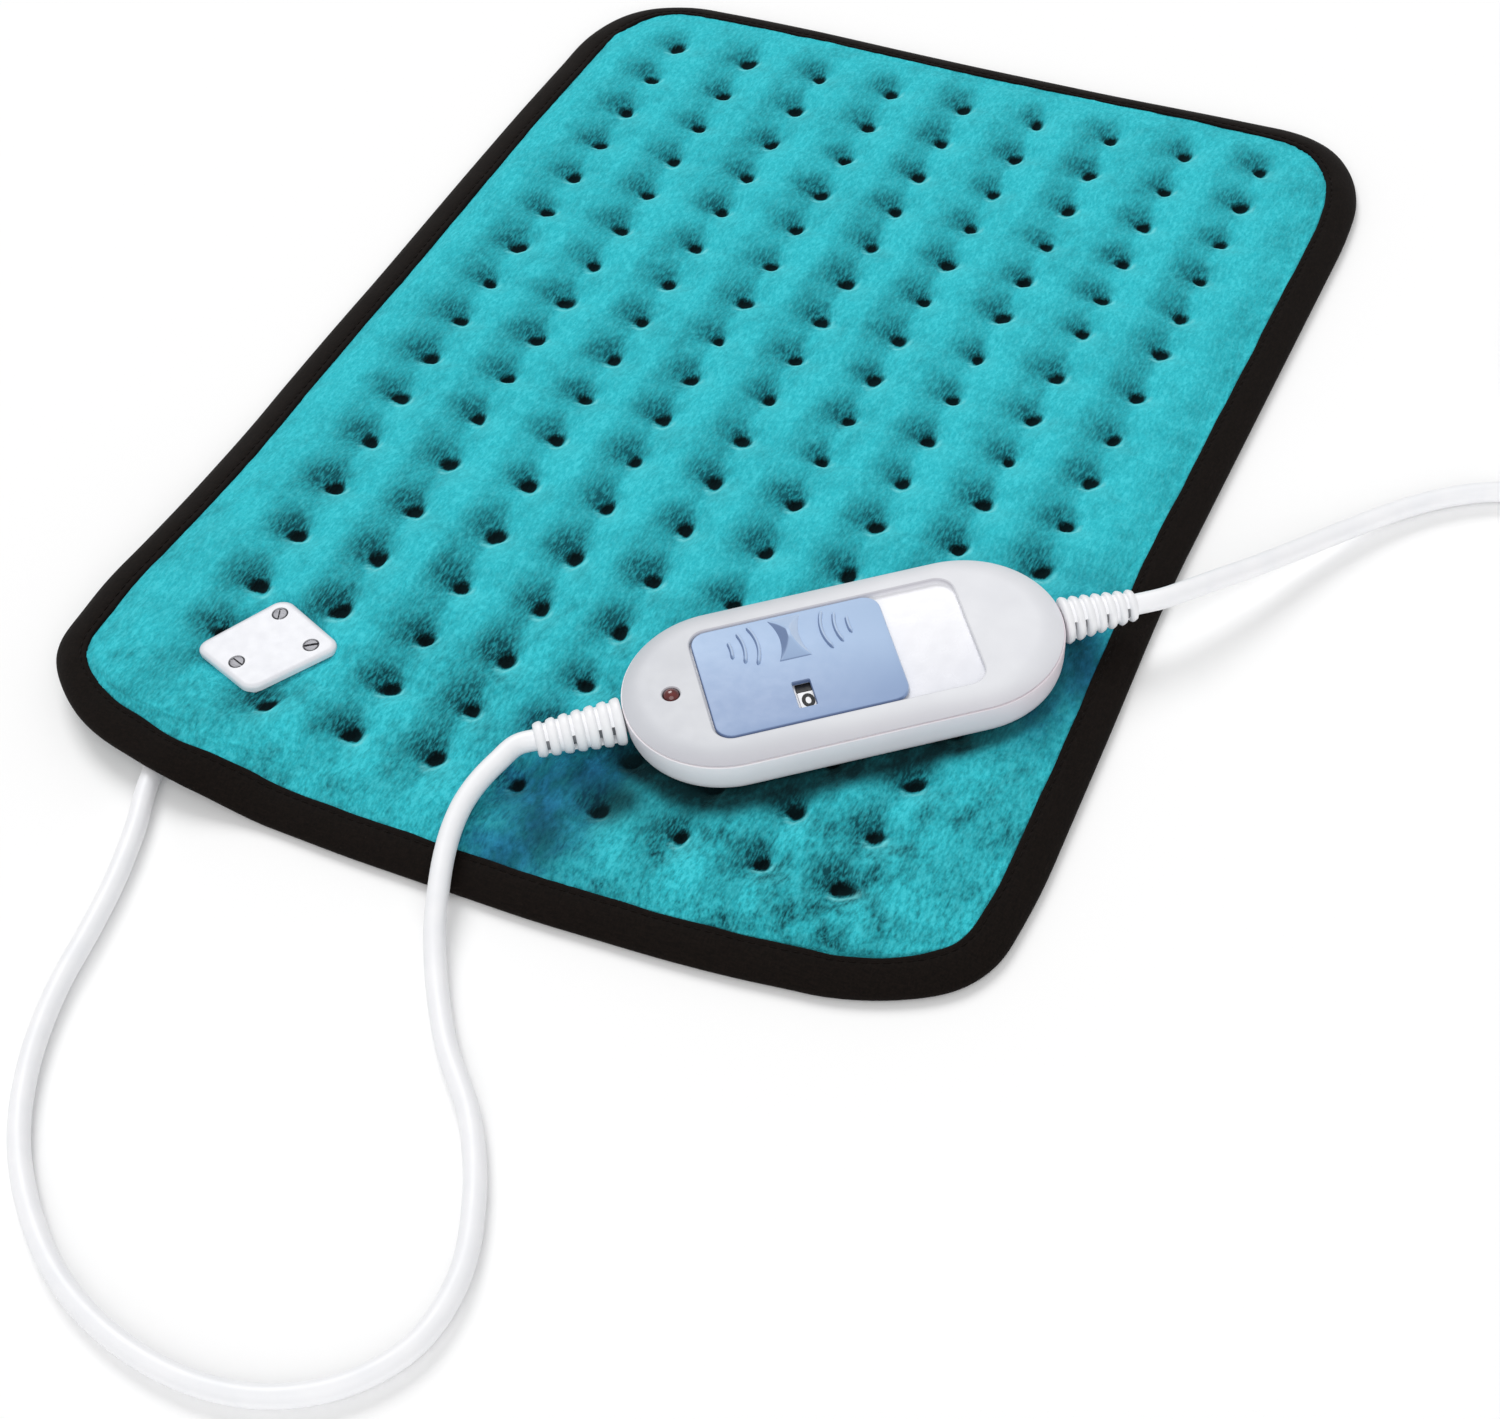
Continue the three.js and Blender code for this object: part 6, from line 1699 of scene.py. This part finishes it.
# The plug's levels as height, half width and half thickness
PLUG_LEVELS = (
    (0.0, 4.4, 4.2), (0.6, 4.9, 4.7), (3, 5.2, 5.0), (7, 6.2, 5.6), (11, 8.6, 6.0), (15, 11.0, 6.1),
    (19, 12.3, 6.0), (23, 13.4, 6.2), (27, 15.4, 6.5), (31, 17.0, 6.75), (34.4, 17.55, 6.8),
    (35.5, 17.4, 6.7), (36, 16.9, 6.3),
)
RIDGES, RIDGE_START, RIDGE_PITCH, RIDGE_SHARE = 5, 12.6, 2.5, 1.15
PIN_SPREAD = 9.3
PIN = (
    (0, 35.8), (1.95, 35.8), (1.95, 45.6), (2.0, 45.9), (2.0, 52.6), (1.7, 53.9), (1.0, 54.8), (0, 55),
)
PIN_SLEEVE = ((0, 35.7), (2.08, 35.7), (2.08, 45.3), (1.9, 45.6), (0, 45.6))


def plug_ridges():
    heights, widths, depths = zip(*PLUG_LEVELS)
    ridges = []
    for k in range(RIDGES):
        height = RIDGE_START + RIDGE_PITCH * k
        length = np.interp(height, heights, widths) * RIDGE_SHARE
        top = np.interp(height, heights, depths)
        foot = rounded_outline(length, RIDGE_FOOT, 0.55, 6)
        crest = rounded_outline(length - RIDGE_FOOT + RIDGE_CREST, RIDGE_CREST, 0.3, 6)
        for face in (-1, 1):
            rib = lofted("rib", [(foot, top - RIDGE_SUNK), (foot, top), (crest, top + RIDGE_RISE)])
            moved(rib, at(0, 0, height) @ Matrix.Rotation(math.pi / 2 * -face, 4, "X"))
            ridges.append(smooth_by_angle(rib, 40))
    return ridges


def make_plug():
    """Flat two-pin plug: waisted grip with ridges, its pins with insulated roots."""
    levels = []
    for height, half_width, half_depth in PLUG_LEVELS:
        radius = min(half_width, half_depth) * 0.9
        levels.append((rounded_outline(2 * half_width, 2 * half_depth, radius, 12), height))
    body = merge(smooth_by_angle(lofted("plug", levels), 42), plug_ridges())
    finish_piece(moved(body, PLUG @ LAID), "cord_white", "cord_white", "plug_body")
    out = [body]
    for number, side in ((1, -1), (2, 1)):
        pin = smooth_by_angle(turned(f"pin_{number}", PIN, 40), 40)
        sleeve = smooth_by_angle(turned(f"pin_sleeve_{number}", PIN_SLEEVE, 40), 40)
        place = PLUG @ LAID @ at(side * PIN_SPREAD, 0)
        finish_piece(moved(pin, place), "brass", "brass", f"plug_pin_{number}")
        finish_piece(moved(sleeve, place), "dark_plastic", "dark_plastic")
        out += [pin, sleeve]
    return out


# Tie round the coil

TIE_ANGLE, TIE_LOW, TIE_HIGH, TIE_THICKNESS, TIE_CORNER = 100, 0.45, 14.75, 0.55, 6.2
# Radii of the coil's inner and outer turns, and the clearance of the strap over the cord
COIL_INNER, COIL_OUTER, TIE_CLEARANCE = 23.6, 45.6, 0.6
TIE_ROWS = (-4.4, -4.1, 0, 4.1, 4.4)
TIE_EDGE, TIE_SAG, FOLD_X = 0.12, 0.35, 3
# The fold's levels as length, width, corner radius and height over the strap
TIE_FOLD = ((11, 8.2, 1.2, 0.4), (11.4, 8.6, 1.4, 0.55), (11, 8.2, 1.2, 1.0))


def tie_row(loop, y, grow, lowest):
    """The strap's section at one place of its width, grown outwards."""
    row = []
    for x, z in loop:
        k = 1 + grow / math.hypot(x, z)
        row.append((x * k, y, max(z * k, lowest)))
    return row


def make_tie():
    """A flat strap round the whole bundle of turns, with the fold that closes it."""
    inner = COIL_INNER - CORD / 2 - TIE_CLEARANCE
    outer = COIL_OUTER + CORD / 2 + TIE_CLEARANCE
    half, tall = (outer - inner) / 2, (TIE_HIGH - TIE_LOW) / 2
    loop = rounded_outline(2 * half, 2 * tall, TIE_CORNER, 12)
    lowest = -tall - TIE_SAG
    edges = [TIE_EDGE if y in (TIE_ROWS[0], TIE_ROWS[-1]) else 0 for y in TIE_ROWS]
    rows = [tie_row(loop, y, edge, lowest) for y, edge in zip(TIE_ROWS, edges)]
    rows += [tie_row(loop, y, TIE_THICKNESS - edge, lowest) for y, edge in zip(TIE_ROWS, edges)][::-1]
    verts = [point for row in rows for point in row]
    strap = tidy_normals(mesh_object("strap", verts, strip_faces(len(rows), len(loop), ring=True)))
    fold = lofted("fold", [(rounded_outline(*size, 6), tall + z) for *size, z in TIE_FOLD])
    smooth_by_angle(moved(fold, at(FOLD_X, 0)), 40)
    merge(smooth_by_angle(strap, 50), [fold])
    place = at(COIL_X, COIL_Y, (TIE_LOW + TIE_HIGH) / 2, TIE_ANGLE) @ at((inner + outer) / 2, 0)
    return finish_piece(moved(strap, place), "strap", "dark_plastic", "cord_tie")


# Putting it together

cushion = finish_piece(make_cushion(), "plush", "plush", "pad_top_cover", "pad_bottom_cover")
finish_piece(make_binding(), "binding_tape", "binding_tape", "edge_binding")
make_clamp()
make_lower_shell()
make_upper_shell()
make_case_screws()
make_led()
make_slider()
make_label()
relief_left = make_relief("left")
relief_right = make_relief("right")
plug_pieces = make_plug()
tie = make_tie()

for ob, replaced in ((pad_lead, ("pad_lead",)), (mains_cord, ("mains_lead", "mains_coil", "mains_tail"))):
    ob.data.materials.append(look("cord_white"))
    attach(ob, ROOT)
    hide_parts(*replaced)

# Looks of the nodes that are carried over from the CAD part
for row in frame["record"]["subparts"]:
    node = bpy.data.objects.get(row["node"])
    if node is not None:
        node.data.materials.clear()
        node.data.materials.append(look(row["material_slot"]))


# Floor and light

FLOOR_HALF, FLOOR_TOP = 6e3, -0.6
FLOOR_WHITE, WORLD_LIGHT = (0.985, 0.985, 0.985), 0.445
CORNERS = ((-1, -1), (1, -1), (1, 1), (-1, 1))

floor = mesh_object("floor", [(x * FLOOR_HALF, y * FLOOR_HALF, FLOOR_TOP) for x, y in CORNERS], [range(4)])
ground = Nodes("floor")
ground.shade(Base_Color=FLOOR_WHITE, Roughness=0.9, Specular_IOR_Level=0.1)
floor.data.materials.append(ground.material)

world = bpy.context.scene.world or bpy.data.worlds.new("world")
bpy.context.scene.world = world
world.use_nodes = True
world.node_tree.nodes["Background"].inputs["Color"].default_value = (1, 1, 1, 1)
world.node_tree.nodes["Background"].inputs["Strength"].default_value = WORLD_LIGHT


def sun(name, energy, degrees, towards):
    data = bpy.data.lights.new(name, "SUN")
    data.energy = energy
    data.angle = math.radians(degrees)
    ob = link(name, data)
    ob.rotation_euler = Vector(towards).to_track_quat("Z", "Y").to_euler()


sun("key", 1.25, 30, (-0.45, 0.50, 0.74))
sun("fill", 1.3, 60, (0.35, -0.65, 0.68))
bpy.context.scene.view_settings.view_transform = "Standard"
